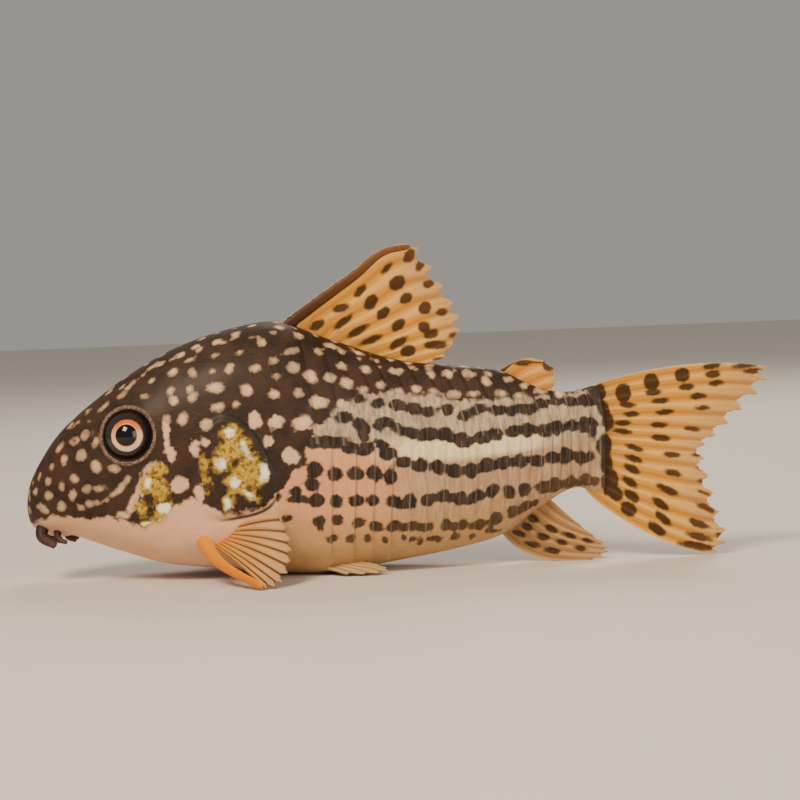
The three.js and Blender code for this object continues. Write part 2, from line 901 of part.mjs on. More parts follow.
function addPiece(name, solid, material) {
  const cleaned = largest(solidOf(geometryOf(solid), 1e-3));
  const mesh = new THREE.Mesh(geometryOf(cleaned), material);
  mesh.name = name;
  fish.add(mesh);
}

function addPair(name, solid, material) {
  addPiece(`${name}_left`, solid, material);
  addPiece(`${name}_right`, mirrored(solid), material);
}

addPiece("head", head, skinPaint);
addPiece("trunk", bodyParts[1], flankPaint);
addPiece("tail_stem", bodyParts[2], tailPaint);
addPair("gill_cover", gillCoverLeft(), gillPaint);
addPair("eye", eyeLeft(), eyePaint);
addPair("upper_barbel", upperBarbel, barbelPaint);
addPair("lower_barbel", lowerBarbel, barbelPaint);
addPair("chin_barbel", chinBarbel, barbelPaint);
addPiece("dorsal_spine", offBody(spineSolid(dorsalFin)), spinePaint);
addPiece("dorsal_fin", dorsalFinSolid(), finPaint);
addPiece("adipose_spine", offBody(spineSolid(adiposeFin)), spinePaint);
addPiece("adipose_fin", adiposeFinSolid(), finPaint);
addPiece("tail_fin_upper", upperLobe, finPaint);
addPiece("tail_fin_lower", lowerLobe, finPaint);
addPiece("anal_fin", analFinSolid(), finPaint);
addPair("pectoral_spine", offBody(pectoralSpineLeft()), orangePaint);
addPair("pectoral_fin", pectoralFinLeft(), finPaint);
addPair("pelvic_fin", pelvicFinLeft(), finPaint);

export default fish;
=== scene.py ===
import math
import random
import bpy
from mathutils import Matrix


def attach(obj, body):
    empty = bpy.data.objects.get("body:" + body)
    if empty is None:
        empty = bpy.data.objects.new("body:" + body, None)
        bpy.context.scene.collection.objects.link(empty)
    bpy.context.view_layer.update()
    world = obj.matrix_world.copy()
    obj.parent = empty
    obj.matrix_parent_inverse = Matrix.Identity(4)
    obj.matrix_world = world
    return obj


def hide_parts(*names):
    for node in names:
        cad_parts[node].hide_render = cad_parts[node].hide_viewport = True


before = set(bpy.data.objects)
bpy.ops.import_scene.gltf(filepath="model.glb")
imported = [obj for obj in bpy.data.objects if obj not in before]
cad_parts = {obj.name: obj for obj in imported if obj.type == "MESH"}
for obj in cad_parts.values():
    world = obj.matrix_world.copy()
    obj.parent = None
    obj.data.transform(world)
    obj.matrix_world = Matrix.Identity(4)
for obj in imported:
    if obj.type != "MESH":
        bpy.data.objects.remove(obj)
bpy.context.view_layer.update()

from types import SimpleNamespace

import bpy
import numpy as np
from mathutils import Quaternion, Vector

random.seed(7)
scene = bpy.context.scene
mm = 0.001
floorGap = 0.02  # millimetres kept above the floor

print("camera")
cameraSetup = {
    "lens": 120.0, "sensor": 36.0, "pixels": 800,
    "mmPerPixel": 0.0952,  # at the fish's midplane
    "elevation": 3.5,
    "roll": 2.264,  # the ground in the view slopes by this much
    "aim": (0.053, 0.0, 15.94),
    "nose": (275.0, 572.5),  # where the floor touches the breast, in pixels
    "noseX": -12.486,
}


def addCamera():
    s = cameraSetup
    distance = s["pixels"] * s["mmPerPixel"] * s["lens"] / s["sensor"]
    tilt = math.radians(s["elevation"])
    back = Vector((0, -math.cos(tilt), math.sin(tilt)))
    data = bpy.data.cameras.new("camera")
    data.lens = s["lens"]
    data.sensor_width = s["sensor"]
    data.clip_start = 0.01
    data.clip_end = 10
    camera = bpy.data.objects.new("camera", data)
    scene.collection.objects.link(camera)
    camera.location = (Vector(s["aim"]) + back * distance) * mm
    camera.rotation_mode = "QUATERNION"
    turned = (-back).to_track_quat("-Z", "Y")
    camera.rotation_quaternion = Quaternion(back, math.radians(-s["roll"])) @ turned
    scene.camera = camera
    return distance


cameraDistance = addCamera()


def fromPhoto(px, py, y=0.0):
    # the point in millimetres that shows at a pixel, y being its distance from the midplane
    s = cameraSetup
    roll = math.radians(s["roll"])
    a = px - s["nose"][0]
    b = s["nose"][1] - py
    x = (a * math.cos(roll) + b * math.sin(roll)) * s["mmPerPixel"] + s["noseX"]
    z = (b * math.cos(roll) - a * math.sin(roll)) * s["mmPerPixel"]
    nearer = 1 + y / cameraDistance
    aimX, aimY, aimZ = s["aim"]
    rise = y * math.tan(math.radians(s["elevation"]))
    return np.array([aimX + (x - aimX) * nearer, y, aimZ + (z - aimZ) * nearer - rise])


print("body shape")
# the body's outlines in side view and its half width, as (x, value) in millimetres
body = {
    "snoutX": -35.85, "endX": 18.6,
    "back": [(-35.85, 7.2), (-35.4, 9.5), (-34.4, 11.4), (-32.6, 13.9), (-28.8, 17.15), (-25.7, 19.3),
             (-20.8, 21.85), (-15.4, 23.45), (-11.3, 23.85), (-6.4, 22.0), (0.2, 19.75), (5.6, 19.0),
             (9.7, 18.35), (13.4, 16.55), (16.0, 16.1), (18.6, 16.6)],
    "belly": [(-35.85, 7.2), (-35.4, 5.3), (-34.2, 4.75), (-31.2, 4.2), (-27.0, 2.7), (-22.6, 1.4),
              (-17.0, 0.75), (-11.0, 0.1), (-7.0, -0.1), (-2.1, 0.55), (6.5, 1.95), (9.5, 2.85),
              (13.4, 5.45), (16.6, 6.95), (18.6, 6.2)],
    "width": [(-35.85, 0), (-35.3, 1.75), (-34.2, 2.9), (-32.0, 4.1), (-29.0, 5.2), (-24.0, 6.45),
              (-18.0, 7.35), (-13.0, 7.45), (-7.0, 6.75), (0.0, 5.5), (6.0, 4.1), (11.0, 2.8),
              (15.5, 1.65), (18.6, 0.75)],
    "level": [(-35.85, 0.5), (-30.0, 0.42), (-20.0, 0.36), (-8.0, 0.36), (2.0, 0.42), (18.6, 0.5)],
    "backPower": [(-35.85, 2.1), (-24.0, 2.3), (-8.0, 2.15), (18.6, 2.2)],
    "bellyPower": [(-35.85, 2.1), (-28.0, 2.5), (-14.0, 3.3), (4.0, 2.6), (18.6, 2.2)],
    "columnsHead": 140, "around": 220,
}
plates = {
    "count": 22, "firstX": -11.9, "firstPitch": 1.82, "lastPitch": 0.98, "lift": 0.2,
    "lateralLine": 0.3, "backSlant": 3.2, "bellySlant": 1.2, "groove": 0.12,
    "grooveWidth": 0.05, "start": (-12.2, -11.5),
    "flankLow": (-1.25, -0.7), "flankHigh": (1.3, 1.52),  # the angles where the plates fade out
    "stations": (0, 0.05, 0.2, 0.35, 0.5, 0.55, 0.7, 0.85),
}


def smooth(a, b, x):
    t = np.clip((x - a) / (b - a), 0, 1)
    return t * t * (3 - 2 * t)


def fromSnout(x):
    return np.sqrt(np.maximum(0, x - body["snoutX"]))


def lineThrough(pairs):
    # a smooth line; near the snout it follows the square root of the distance, which rounds the nose
    places = fromSnout(np.array([p[0] for p in pairs], float))
    values = np.array([p[1] for p in pairs], float)
    slopes = np.diff(values) / np.diff(places)
    last = len(slopes) - 1

    def evaluate(at):
        at = np.clip(at, places[0], places[-1])
        i = np.clip(np.searchsorted(places, at, side="right") - 1, 0, last)
        span = places[i + 1] - places[i]
        p = (at - places[i]) / span
        bow = slopes[np.maximum(i - 1, 0)] * (1 - p) - slopes[np.minimum(i + 1, last)] * p
        straight = (values[i + 1] - values[i]) * p * (0.5 + 1.5 * p - p**2)
        return values[i] + straight + span / 2 * bow * p * (1 - p)

    return evaluate


backAt, bellyAt, widthAt, levelAt, backPowerAt, bellyPowerAt = (
    lineThrough(body[k]) for k in ("back", "belly", "width", "level", "backPower", "bellyPower"))

plateEdges = [plates["firstX"]]
for k in range(plates["count"]):
    part = k / plates["count"]
    plateEdges.append(plateEdges[-1] + plates["firstPitch"] * (1 - part) + plates["lastPitch"] * part)
plateEdges = np.array(plateEdges)


def plateSlant(x, angle):
    line = plates["lateralLine"]
    above = np.maximum(0, angle - line) / (math.pi / 2 - line)
    below = np.maximum(0, line - angle) / (math.pi / 2 + line)
    slant = plates["backSlant"] * (1 - above**1.2) - plates["bellySlant"] * below
    return slant * smooth(-16, -7, x) * (1 - 0.75 * smooth(6, body["endX"], x))


def bodyPoint(along, angle):
    # x, y and z of the skin's left half; angle runs from -90 degrees at the belly to 90 at the back
    ring = body["snoutX"] + along**2
    x = ring + plateSlant(ring, angle)
    place = fromSnout(x)
    top, bottom = backAt(place), bellyAt(place)
    level = bottom + (top - bottom) * levelAt(place)
    power = np.where(angle > 0, backPowerAt(place), bellyPowerAt(place))
    rise, across = np.sin(angle), np.maximum(np.cos(angle), 0)
    reach = (np.abs(rise)**power + across**power + 1e-12) ** (-1 / power)
    height = np.where(angle > 0, top - level, level - bottom)
    return np.stack([x, -widthAt(place) * across * reach, level + height * rise * reach], -1)


def bodyNormal(along, angle):
    step = 0.02
    place = np.maximum(along, 0.12)
    lengthwise = bodyPoint(place + step, angle) - bodyPoint(place - step, angle)
    upper = bodyPoint(place, np.minimum(angle + step, math.pi / 2))
    lower = bodyPoint(place, np.maximum(angle - step, -math.pi / 2))
    normal = np.cross(lengthwise, upper - lower)
    outwards = normal[..., 2] * np.sin(angle) - normal[..., 1] * np.cos(angle)
    normal *= np.sign(outwards)[..., None]
    return normal / np.maximum(np.linalg.norm(normal, axis=-1, keepdims=True), 1e-9)


def onSkin(x, z):
    # the left side's skin at an x and a height
    place = fromSnout(x)
    top, bottom = float(backAt(place)), float(bellyAt(place))
    level = bottom + (top - bottom) * float(levelAt(place))
    power = float(backPowerAt(place) if z > level else bellyPowerAt(place))
    height = top - level if z > level else level - bottom
    part = min(abs(z - level) / max(height, 0.001), 1)
    return -float(widthAt(place)) * (1 - part**power) ** (1 / power)


def seenOnSkin(px, py):
    # the point of the left side's skin that shows at a pixel
    y = -5.0
    for _ in range(8):
        x, _, z = fromPhoto(px, py, y)
        x = max(x, body["snoutX"] + 0.05)
        place = fromSnout(x)
        y = onSkin(x, min(max(z, float(bellyAt(place))), float(backAt(place))))
    return np.array([x, y, z])


# meshes made from grids of points
def gridPiece(name, points):
    # points is rows by columns by 3, in millimetres
    rows, columns = points.shape[:2]
    bpy.ops.object.select_all(action="DESELECT")
    bpy.ops.mesh.primitive_grid_add(x_subdivisions=columns - 1, y_subdivisions=rows - 1, size=1)
    piece = bpy.context.object
    piece.name = name
    piece.data.vertices.foreach_set("co", (points.reshape(-1, 3) * mm).ravel())
    piece.data.update()
    return piece


def closePiece(piece, angle):
    # rows and columns that coincide are joined, and edges flatter than the angle look smooth
    bpy.ops.object.select_all(action="DESELECT")
    piece.select_set(True)
    bpy.context.view_layer.objects.active = piece
    bpy.ops.object.mode_set(mode="EDIT")
    bpy.ops.mesh.select_all(action="SELECT")
    bpy.ops.mesh.remove_doubles(threshold=0.000002)
    bpy.ops.mesh.normals_make_consistent(inside=False)
    bpy.ops.object.mode_set(mode="OBJECT")
    bpy.ops.object.shade_smooth_by_angle(angle=math.radians(angle))
    return piece


def keep(piece, name, values):
    # a number for each vertex, which the materials read
    data = piece.data.attributes.new(name, "FLOAT", "POINT")
    data.data.foreach_set("value", np.asarray(values, np.float32).ravel())


def handIn(piece, material, slot, *nodes):
    piece.data.materials.clear()
    piece.data.materials.append(material)
    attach(piece, "root")
    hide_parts(*nodes)


def catmull(points, t):
    # a smooth curve through points, t running from 0 to 1
    points = np.array(points, float)
    points = np.vstack([2 * points[0] - points[1], points, 2 * points[-1] - points[-2]])
    spans = len(points) - 3
    at = np.clip(np.asarray(t, float), 0, 1) * spans
    i = np.minimum(at.astype(int), spans - 1)
    f = (at - i)[..., None]
    a, b, c, d = (points[i + k] for k in range(4))
    curve = (2 * a - 5 * b + 4 * c - d) * f**2 + (3 * b - 3 * c + d - a) * f**3
    return 0.5 * (2 * b + (c - a) * f + curve)


def rodPoints(line, rootRadius, endRadius, sides=20, steps=40, squash=1.0):
    # rings round a curve, thinner towards its end and closed at both ends
    t = np.linspace(0, 1, steps)
    centre = catmull(line, t)
    ahead = np.gradient(centre, axis=0)
    ahead /= np.linalg.norm(ahead, axis=1, keepdims=True)
    sideways = np.array([0, 1.0, 0]) - ahead * ahead[:, 1:2]
    sideways /= np.linalg.norm(sideways, axis=1, keepdims=True)
    upwards = np.cross(ahead, sideways)
    rootCap = np.sqrt(np.clip(1 - (1 - np.minimum(t / 0.06, 1)) ** 2, 0, 1))
    endCap = np.sqrt(np.clip(1 - (1 - np.minimum((1 - t) / 0.05, 1)) ** 2, 0, 1))
    radius = (rootRadius + (endRadius - rootRadius) * t**0.8) * rootCap * endCap
    turn = np.linspace(0, 2 * math.pi, sides + 1)
    return (
        centre[:, None]
        + sideways[:, None] * (radius * squash)[:, None, None] * np.cos(turn)[None, :, None]
        + upwards[:, None] * radius[:, None, None] * np.sin(turn)[None, :, None]
    ), t, turn


# shader maths on sockets
class Shade:
    def __init__(self, tree, socket=None):
        self.tree = tree
        self.socket = socket

    def add(self, kind, settings=None, inputs=None, output=0):
        node = self.tree.nodes.new(kind)
        for key, value in (settings or {}).items():
            setattr(node, key, value)
        for key, value in (inputs or {}).items():
            if isinstance(value, Shade):
                self.tree.links.new(value.socket, node.inputs[key])
            else:
                node.inputs[key].default_value = value
        return Shade(self.tree, node.outputs[output])

    def math(self, operation, *others):
        return self.add("ShaderNodeMath", {"operation": operation}, dict(enumerate(others)))

    def __add__(self, other):
        return self.math("ADD", self, other)

    def __radd__(self, other):
        return self.math("ADD", other, self)

    def __sub__(self, other):
        return self.math("SUBTRACT", self, other)

    def __rsub__(self, other):
        return self.math("SUBTRACT", other, self)

    def __mul__(self, other):
        return self.math("MULTIPLY", self, other)

    def __rmul__(self, other):
        return self.math("MULTIPLY", other, self)

    def __neg__(self):
        return self.math("MULTIPLY", self, -1.0)

    def step(self, low, high):
        # 0 below low, 1 above high, and smooth between
        return self.add("ShaderNodeMapRange", {"interpolation_type": "SMOOTHSTEP"},
                        {"Value": self, "From Min": low, "From Max": high})

    def mix(self, zero, one):
        # a colour between two, by this mask
        return self.add("ShaderNodeMix", {"data_type": "RGBA"}, {"Factor": self, 6: zero, 7: one}, 2)

    def attribute(self, name):
        return self.add("ShaderNodeAttribute", {"attribute_name": name}, None, "Fac")

    def place(self, scale=(1, 1, 1)):
        # the object's own coordinates in millimetres, stretched
        spot = self.add("ShaderNodeTexCoord", None, None, "Object")
        return self.add("ShaderNodeVectorMath", {"operation": "MULTIPLY"},
                        {0: spot, 1: [1000.0 * v for v in scale]})

    def noise(self, size, detail=3.0, scale=(1, 1, 1)):
        return self.add("ShaderNodeTexNoise", None,
                        {"Vector": self.place(scale), "Scale": 1 / size, "Detail": detail})

    def cells(self, size):
        return self.add("ShaderNodeTexVoronoi", None, {"Vector": self.place(), "Scale": 1 / size})


def colour(text):
    # a screen colour such as 4a3430 as a linear one
    parts = [int(text[i:i + 2], 16) / 255 for i in (0, 2, 4)]
    return [p / 12.92 if p <= 0.04045 else ((p + 0.055) / 1.055) ** 2.4 for p in parts] + [1.0]


def colours(tones):
    return SimpleNamespace(**{name: colour(text) for name, text in tones.items()})


def newMaterial(name, constants):
    material = bpy.data.materials.new(name)
    material.use_nodes = True
    tree = material.node_tree
    shader = tree.nodes["Principled BSDF"]
    for key, value in constants.items():
        shader.inputs[key].default_value = value
    return material, Shade(tree), shader


def plug(shade, shader, name):
    shade.tree.links.new(shade.socket, shader.inputs[name])


def bump(shader, height, strength, distance):
    # height in millimetres
    normal = height.add("ShaderNodeBump", None,
                        {"Height": height, "Strength": strength, "Distance": distance * mm}, "Normal")
    plug(normal, shader, "Normal")


# markings of the skin: pixel x and y, half length, half height, and a tilt in degrees where there is one
print("markings")
marks = {
    "headPale": [
        (130, 386, 8, 3.5, 45), (121, 397, 5, 3.5, 30), (146, 397, 6, 4, -10), (171, 391, 4.5, 5),
        (174, 400, 4.5, 5), (104, 408, 6, 3, 45), (167, 419, 4, 4), (183, 419, 5.5, 6),
        (89, 411, 5, 2.5, 45), (76, 424, 6, 2.5, 45), (89, 422, 3, 3), (86, 435, 5, 6.5), (75, 441, 6, 5),
        (95, 442, 3, 6, -20), (60, 447, 3.5, 6, -25), (64, 460, 4, 6, -10), (81, 456, 6, 6, 20),
        (96, 467, 6, 7), (114, 469, 6.5, 5), (51, 466, 4, 4), (48, 481, 4, 4), (61, 486, 4, 6, 15),
        (74, 479, 5, 5), (72, 495, 4, 6, -20), (48, 496, 5, 4), (35, 492, 3, 4), (39, 476, 2.5, 4),
        (87, 489, 6, 3.5), (98, 489, 7, 3.5), (61, 507, 6, 5, 10), (42, 509, 7, 4, -30), (41, 523, 4, 5),
        (51, 524, 5, 6), (80, 507, 5, 4), (88, 504, 6, 3, 8), (97, 503, 6, 3), (106, 500, 6, 3, 25),
        (113, 495, 6, 3, 45), (120, 488, 6, 3, 50), (127, 480, 6, 3, 50), (166, 430, 3, 8),
        (167, 443, 3.5, 7), (193, 397, 5, 6, -20), (190, 388, 4, 4), (215, 388, 9, 5, -5),
        (217, 407, 8, 5, 10), (237, 405, 5, 4), (247, 390, 7, 6, -25), (274, 394, 6, 5),
        (255, 420, 6, 5, -30), (273, 421, 7, 5, 20), (207, 425, 7, 6, 10), (193, 447, 3, 7),
        (205, 443, 4, 3), (256, 368, 7, 5), (275, 376, 5, 4), (230, 368, 5, 6), (193, 373, 4, 6, 20),
        (173, 372, 5, 4), (173, 359, 4, 3, 20), (152, 367, 7, 3, 35), (152, 380, 4, 3), (235, 337, 4, 3),
        (240, 352, 5, 4), (262, 343, 5, 5), (258, 338, 3, 6, 20), (280, 328, 6, 4, -40),
        (298, 336, 7, 5, 10), (290, 352, 8, 4, 20), (293, 368, 6, 7, 20), (274, 361, 4, 4),
        (215, 355, 5, 3, 20), (200, 349, 5, 3, 25), (190, 360, 5, 3, 20), (212, 371, 4, 4),
        (180, 345, 4, 2.5, 30), (222, 343, 4, 2.5, 20), (310, 377, 8, 6, -35), (298, 394, 6, 5),
        (303, 420, 7, 6), (318, 352, 5, 7, 20), (332, 347, 8, 4, -25), (341, 366, 7, 5), (316, 400, 5, 5),
        (357, 353, 7, 4, -20), (365, 370, 6, 5, -20), (375, 361, 6, 4, -15), (394, 372, 7, 5),
        (411, 368, 5, 4), (430, 374, 4, 7, 20), (447, 374, 6, 6), (466, 374, 4, 6, 25), (330, 378, 6, 6),
        (348, 384, 7, 6), (362, 390, 7, 5), (381, 386, 6, 5), (398, 392, 6, 5), (416, 389, 6, 5),
        (434, 392, 7, 4), (452, 394, 7, 4), (472, 394, 7, 4), (486, 382, 4, 6, 20), (500, 394, 8, 4),
        (520, 396, 8, 4), (506, 380, 4, 4), (540, 392, 6, 4), (526, 384, 4, 3), (560, 394, 5, 6),
    ],
    "gold": [  # golden sheen of the cheek and the gill cover
        (158, 470, 8, 7, 20), (148, 487, 7, 12, -20), (160, 490, 9, 12, 10), (142, 508, 6, 9, -10),
        (150, 522, 12, 4, 25), (165, 512, 12, 6, 30), (232, 434, 10, 9), (222, 462, 10, 11),
        (236, 484, 12, 12, 30), (246, 452, 7, 14, 10), (258, 474, 8, 14, 10), (230, 450, 12, 10),
        (246, 470, 12, 12), (204, 470, 3.5, 14, 5), (228, 503, 5, 8), (250, 496, 8, 6, -30),
    ],
    "glint": [
        (164, 509, 7, 6), (222, 464, 7.5, 6.5), (235, 484, 7, 6.5, 15), (246, 493, 7, 3, -40),
        (247, 452, 4.5, 9, 20), (230, 433, 6, 5), (264, 472, 5, 10), (148, 484, 3, 6, -15),
        (228, 504, 3.5, 7), (145, 524, 8, 2, 20), (142, 497, 2, 5, -15),
    ],
    "cheekPale": [
        (179, 485, 11, 8, 25), (194, 446, 5, 11, 10), (166, 437, 3, 11), (171, 456, 6, 9, 20),
        (152, 466, 10, 3.5, 35), (133, 503, 3.5, 14, -30), (141, 486, 3.5, 12, -25), (199, 492, 6, 11),
        (196, 508, 7, 10, 10), (206, 443, 5, 5), (124, 516, 9, 3.5), (290, 456, 9, 9), (301, 424, 9, 8),
        (276, 422, 11, 7, 10), (255, 421, 7, 10, 10), (269, 441, 6, 7), (321, 402, 11, 6), (342, 405, 8, 6),
        (322, 430, 15, 6), (296, 478, 6, 4),
    ],
    "coverEdge": [  # the dark of the head and back ends below this line
        (27, 526), (50, 518), (90, 519), (115, 518), (130, 524), (141, 530), (158, 522), (176, 507),
        (190, 500), (205, 506), (222, 514), (242, 514), (262, 508), (276, 497), (290, 480), (300, 455),
        (314, 438), (334, 412), (362, 396), (380, 394), (395, 393), (450, 397), (470, 401), (520, 398),
        (560, 396), (612, 385),
    ],
    "rows": [  # lines of dark blotches on the flank: points, half length, half height
        ([(322, 386), (362, 400), (388, 404), (419, 411), (440, 409), (464, 414), (480, 410), (536, 408),
          (556, 400), (590, 402)], 9.5, 5.6),
        ([(303, 406), (315, 413), (334, 416), (352, 420), (372, 426), (388, 426), (401, 431), (419, 437),
          (440, 434), (464, 441), (480, 438), (500, 432), (540, 430), (562, 427), (588, 424)], 9.5, 6.4),
        ([(308, 442), (345, 445), (357, 449), (373, 447), (388, 455), (400, 464), (432, 466), (464, 471),
          (492, 466), (536, 459), (562, 457), (586, 456)], 9.0, 6.6),
        ([(296, 464), (315, 470), (336, 474), (359, 474), (379, 472), (397, 477), (404, 476)], 8.4, 7.6),
        ([(296, 492), (319, 500), (360, 501), (382, 500), (401, 505), (419, 500), (443, 497), (469, 500),
          (484, 493), (530, 489), (545, 485), (588, 481)], 8.6, 7.0),
        ([(319, 523), (345, 520), (369, 526), (386, 525), (401, 528), (441, 526), (480, 526), (493, 520),
          (519, 511), (540, 500)], 7.4, 6.0),
        ([(332, 540), (373, 538), (423, 540), (462, 536), (492, 531)], 5.0, 4.4),
    ],
    "frontDark": [  # dark patches where the rows run up to the gill cover
        (277, 434, 6, 7), (278, 447, 6, 9), (288, 435, 4, 10), (304, 406, 7, 8), (322, 415, 12, 5),
        (343, 418, 12, 6, -5), (362, 427, 9, 6, -20), (387, 423, 12, 6, -20), (314, 442, 9, 7),
        (338, 442, 12, 6, 10), (352, 448, 8, 6, -20), (364, 436, 5, 8), (381, 445, 10, 5, -25),
        (390, 453, 7, 6), (299, 460, 7, 8, 20), (277, 470, 6, 11, 10), (316, 467, 6, 7), (335, 475, 8, 7),
        (359, 475, 6, 7), (377, 475, 7, 7), (311, 485, 8, 8, 30), (278, 497, 5, 6), (297, 499, 11, 5),
        (288, 519, 6, 4), (320, 526, 4, 8), (331, 539, 6, 5),
    ],
    "rowSpan": (300, 590),  # the first and last pixel of the rows
    "rowStep": (19.5, 14.0),  # pixels between blotches, at the front and at the tail
    "rowShift": 2.0,
    "taller": 0.22,  # how much taller blotches are at the tail
    "joined": 0.8,  # how many run together with the next, behind this pixel
    "joinedFrom": 392,
    "tailBar": [(598, 393, 8, 8), (603, 409, 6, 11, 15), (608, 422, 6, 9), (592, 428, 6, 13),
                (604, 445, 8, 12), (606, 464, 7, 11), (610, 482, 9, 14, -10), (616, 494, 8, 7, -40)],
}
backSpots = {
    "x": (-31, 14, 1.75), "angles": (1.18, 1.42), "snout": (0.3, 0.62, 0.95),
    "snoutAngles": (-0.2, 0.35, 0.85, 1.3),
    "snoutFar": -1.9,  # spots past this y show in the view, so headPale has them
}


def asMarks(entries, place=seenOnSkin, grow=1.0):
    # places in millimetres on the left side, half sizes and tilt
    size = cameraSetup["mmPerPixel"] * grow
    return [(place(px, py), a * size, b * size, math.radians(sum(tilt))) for px, py, a, b, *tilt in entries]


def insideMarks(points, found):
    # how far inside the nearest mark each point is, in millimetres; below 0 outside
    deepest = np.full(len(points), -9.0)
    for centre, a, b, tilt in found:
        near = np.abs(points[:, 0] - centre[0]) < 4
        away = points[near] - centre
        rise = np.sign(away[:, 2]) * np.hypot(away[:, 2], away[:, 1])
        along = away[:, 0] * math.cos(tilt) + rise * math.sin(tilt)
        across = rise * math.cos(tilt) - away[:, 0] * math.sin(tilt)
        deep = (1 - np.sqrt((along / a) ** 2 + (across / b) ** 2)) * min(a, b)
        deepest[near] = np.maximum(deepest[near], deep)
    return deepest


def rowMarks():
    found = []
    shift = marks["rowShift"]
    first, last = marks["rowSpan"]
    frontStep, tailStep = marks["rowStep"]
    for line, a, b in marks["rows"]:
        px = line[0][0]
        xs, ys = zip(*line)
        while px < xs[-1]:
            part = (px - first) / (last - first)
            py = np.interp(px, xs, ys) + random.uniform(-shift, shift)
            wide = a * random.uniform(0.82, 1.12)
            tall = b * (1 + marks["taller"] * max(part, 0))
            found.append((px, py, wide, tall * random.uniform(0.88, 1.12), random.uniform(-12, 12)))
            step = (frontStep * (1 - part) + tailStep * part) * random.uniform(0.92, 1.08)
            if px > marks["joinedFrom"] and random.random() < marks["joined"]:
                between = px + step / 2
                found.append((between, np.interp(between, xs, ys), step * 0.6, tall * 0.68))
            px += step
    return found


def backMarks():
    # pale spots where the view doesn't show the skin: over the top of the back and the front of the snout
    found = []
    for x in np.arange(*backSpots["x"]):
        for angle in backSpots["angles"]:
            along = math.sqrt(x + random.uniform(-0.3, 0.3) - body["snoutX"])
            point = bodyPoint(np.array(along), np.array(angle + random.uniform(-0.07, 0.07)))
            size = random.uniform(0.28, 0.48)
            found.append((point, size * 1.2, size, random.uniform(-0.5, 0.5)))
    for out in backSpots["snout"]:
        for angle in backSpots["snoutAngles"]:
            along = np.array(out + random.uniform(-0.06, 0.06))
            point = bodyPoint(along, np.array(angle + random.uniform(-0.12, 0.12)))
            if point[1] > backSpots["snoutFar"]:
                found.append((point, 0.34, random.uniform(0.26, 0.4), 0))
    return found


print("skin")
sculpt = {
    "eye": (-25.4, 13.95), "eyeRadius": 2.8, "eyeOut": 0.85, "eyeLook": (-0.1, -1.0, 0.14),
    "orbit": 2.62,  # the ring of skin round the eye
    "orbitHeight": 0.24, "orbitWidth": 0.26,
    "socket": (1.9, 2.45, 0.5),  # the hollow under the eye: where it starts, where it ends, how deep
    "brow": (3.1, 0.18),  # how far from the eye's axis, and how high
    "gillOutline": [(-18.9, 14.6), (-16.2, 15.5), (-14.1, 14.2), (-12.5, 11.6), (-11.6, 9.0), (-12.6, 7.0),
                    (-15.4, 6.2), (-18.6, 6.2), (-20.2, 8.4), (-20.1, 11.6)],
    "gillLift": 0.28,
    "gillFree": (-19.5, -16.5),  # the cover's edge is free behind and below
    "gillGroove": 0.12,
    "nostrils": [(-30.75, 13.5, 0.42), (-29.4, 14.05, 0.45)],
    "nostrilRim": 0.2, "nostrilPit": 0.4, "mouthX": -33.0, "mouthHalf": 1.75,
    "mouthDepth": 0.45, "lip": 0.3, "paleGrow": 1.08,
}


def outlineDistance(x, z, outline):
    # distance inside a closed outline, below 0 outside it
    corners = catmull(outline + [outline[0]], np.linspace(0, 1, 61))[:-1]
    nearest = np.full(x.shape, 1e9)
    inside = np.zeros(x.shape, bool)
    for k in range(len(corners)):
        ax, az = corners[k]
        bx, bz = corners[(k + 1) % len(corners)]
        sideX, sideZ = bx - ax, bz - az
        t = np.clip(((x - ax) * sideX + (z - az) * sideZ) / (sideX**2 + sideZ**2), 0, 1)
        nearest = np.minimum(nearest, np.hypot(x - ax - t * sideX, z - az - t * sideZ))
        crosses = (az > z) != (bz > z)
        inside ^= crosses & (x < sideX * (z - az) / (sideZ if sideZ != 0 else 1e-9) + ax)
    return np.where(inside, nearest, -nearest)


eyeLook = np.array(sculpt["eyeLook"]) / np.linalg.norm(sculpt["eyeLook"])
eyeX, eyeZ = sculpt["eye"]
eyeOnSkin = np.array([eyeX, onSkin(eyeX, eyeZ), eyeZ])
eyeCentre = eyeOnSkin + eyeLook * (sculpt["eyeOut"] - sculpt["eyeRadius"])


def plateRise(ring, shift):
    # 0 just behind a plate's edge and 1 at the next edge, and the distance from the nearer edge
    edges = plateEdges + shift
    i = np.clip(np.searchsorted(edges, ring + 1e-6, side="right"), 1, len(edges) - 1)
    behind, ahead = ring - edges[i - 1], edges[i] - ring
    rise = np.clip(behind / (edges[i] - edges[i - 1]), 0, 1)
    return np.where(ring < edges[0], 0, rise), np.minimum(behind, ahead)


def skinStations():
    # places along the body, eight to a plate
    headEnd = float(fromSnout(plates["firstX"]))
    stations = list(np.linspace(0.0, headEnd, body["columnsHead"], endpoint=False)[1:])
    for k in range(plates["count"]):
        a, b = plateEdges[k], plateEdges[k + 1]
        if b > body["endX"]:
            break
        stations += [float(fromSnout(a + (b - a) * f)) for f in plates["stations"]]
    stations.append(float(fromSnout(body["endX"])))
    return np.array(stations)


def hill(distance, width):
    return np.exp(-((distance / width) ** 2))


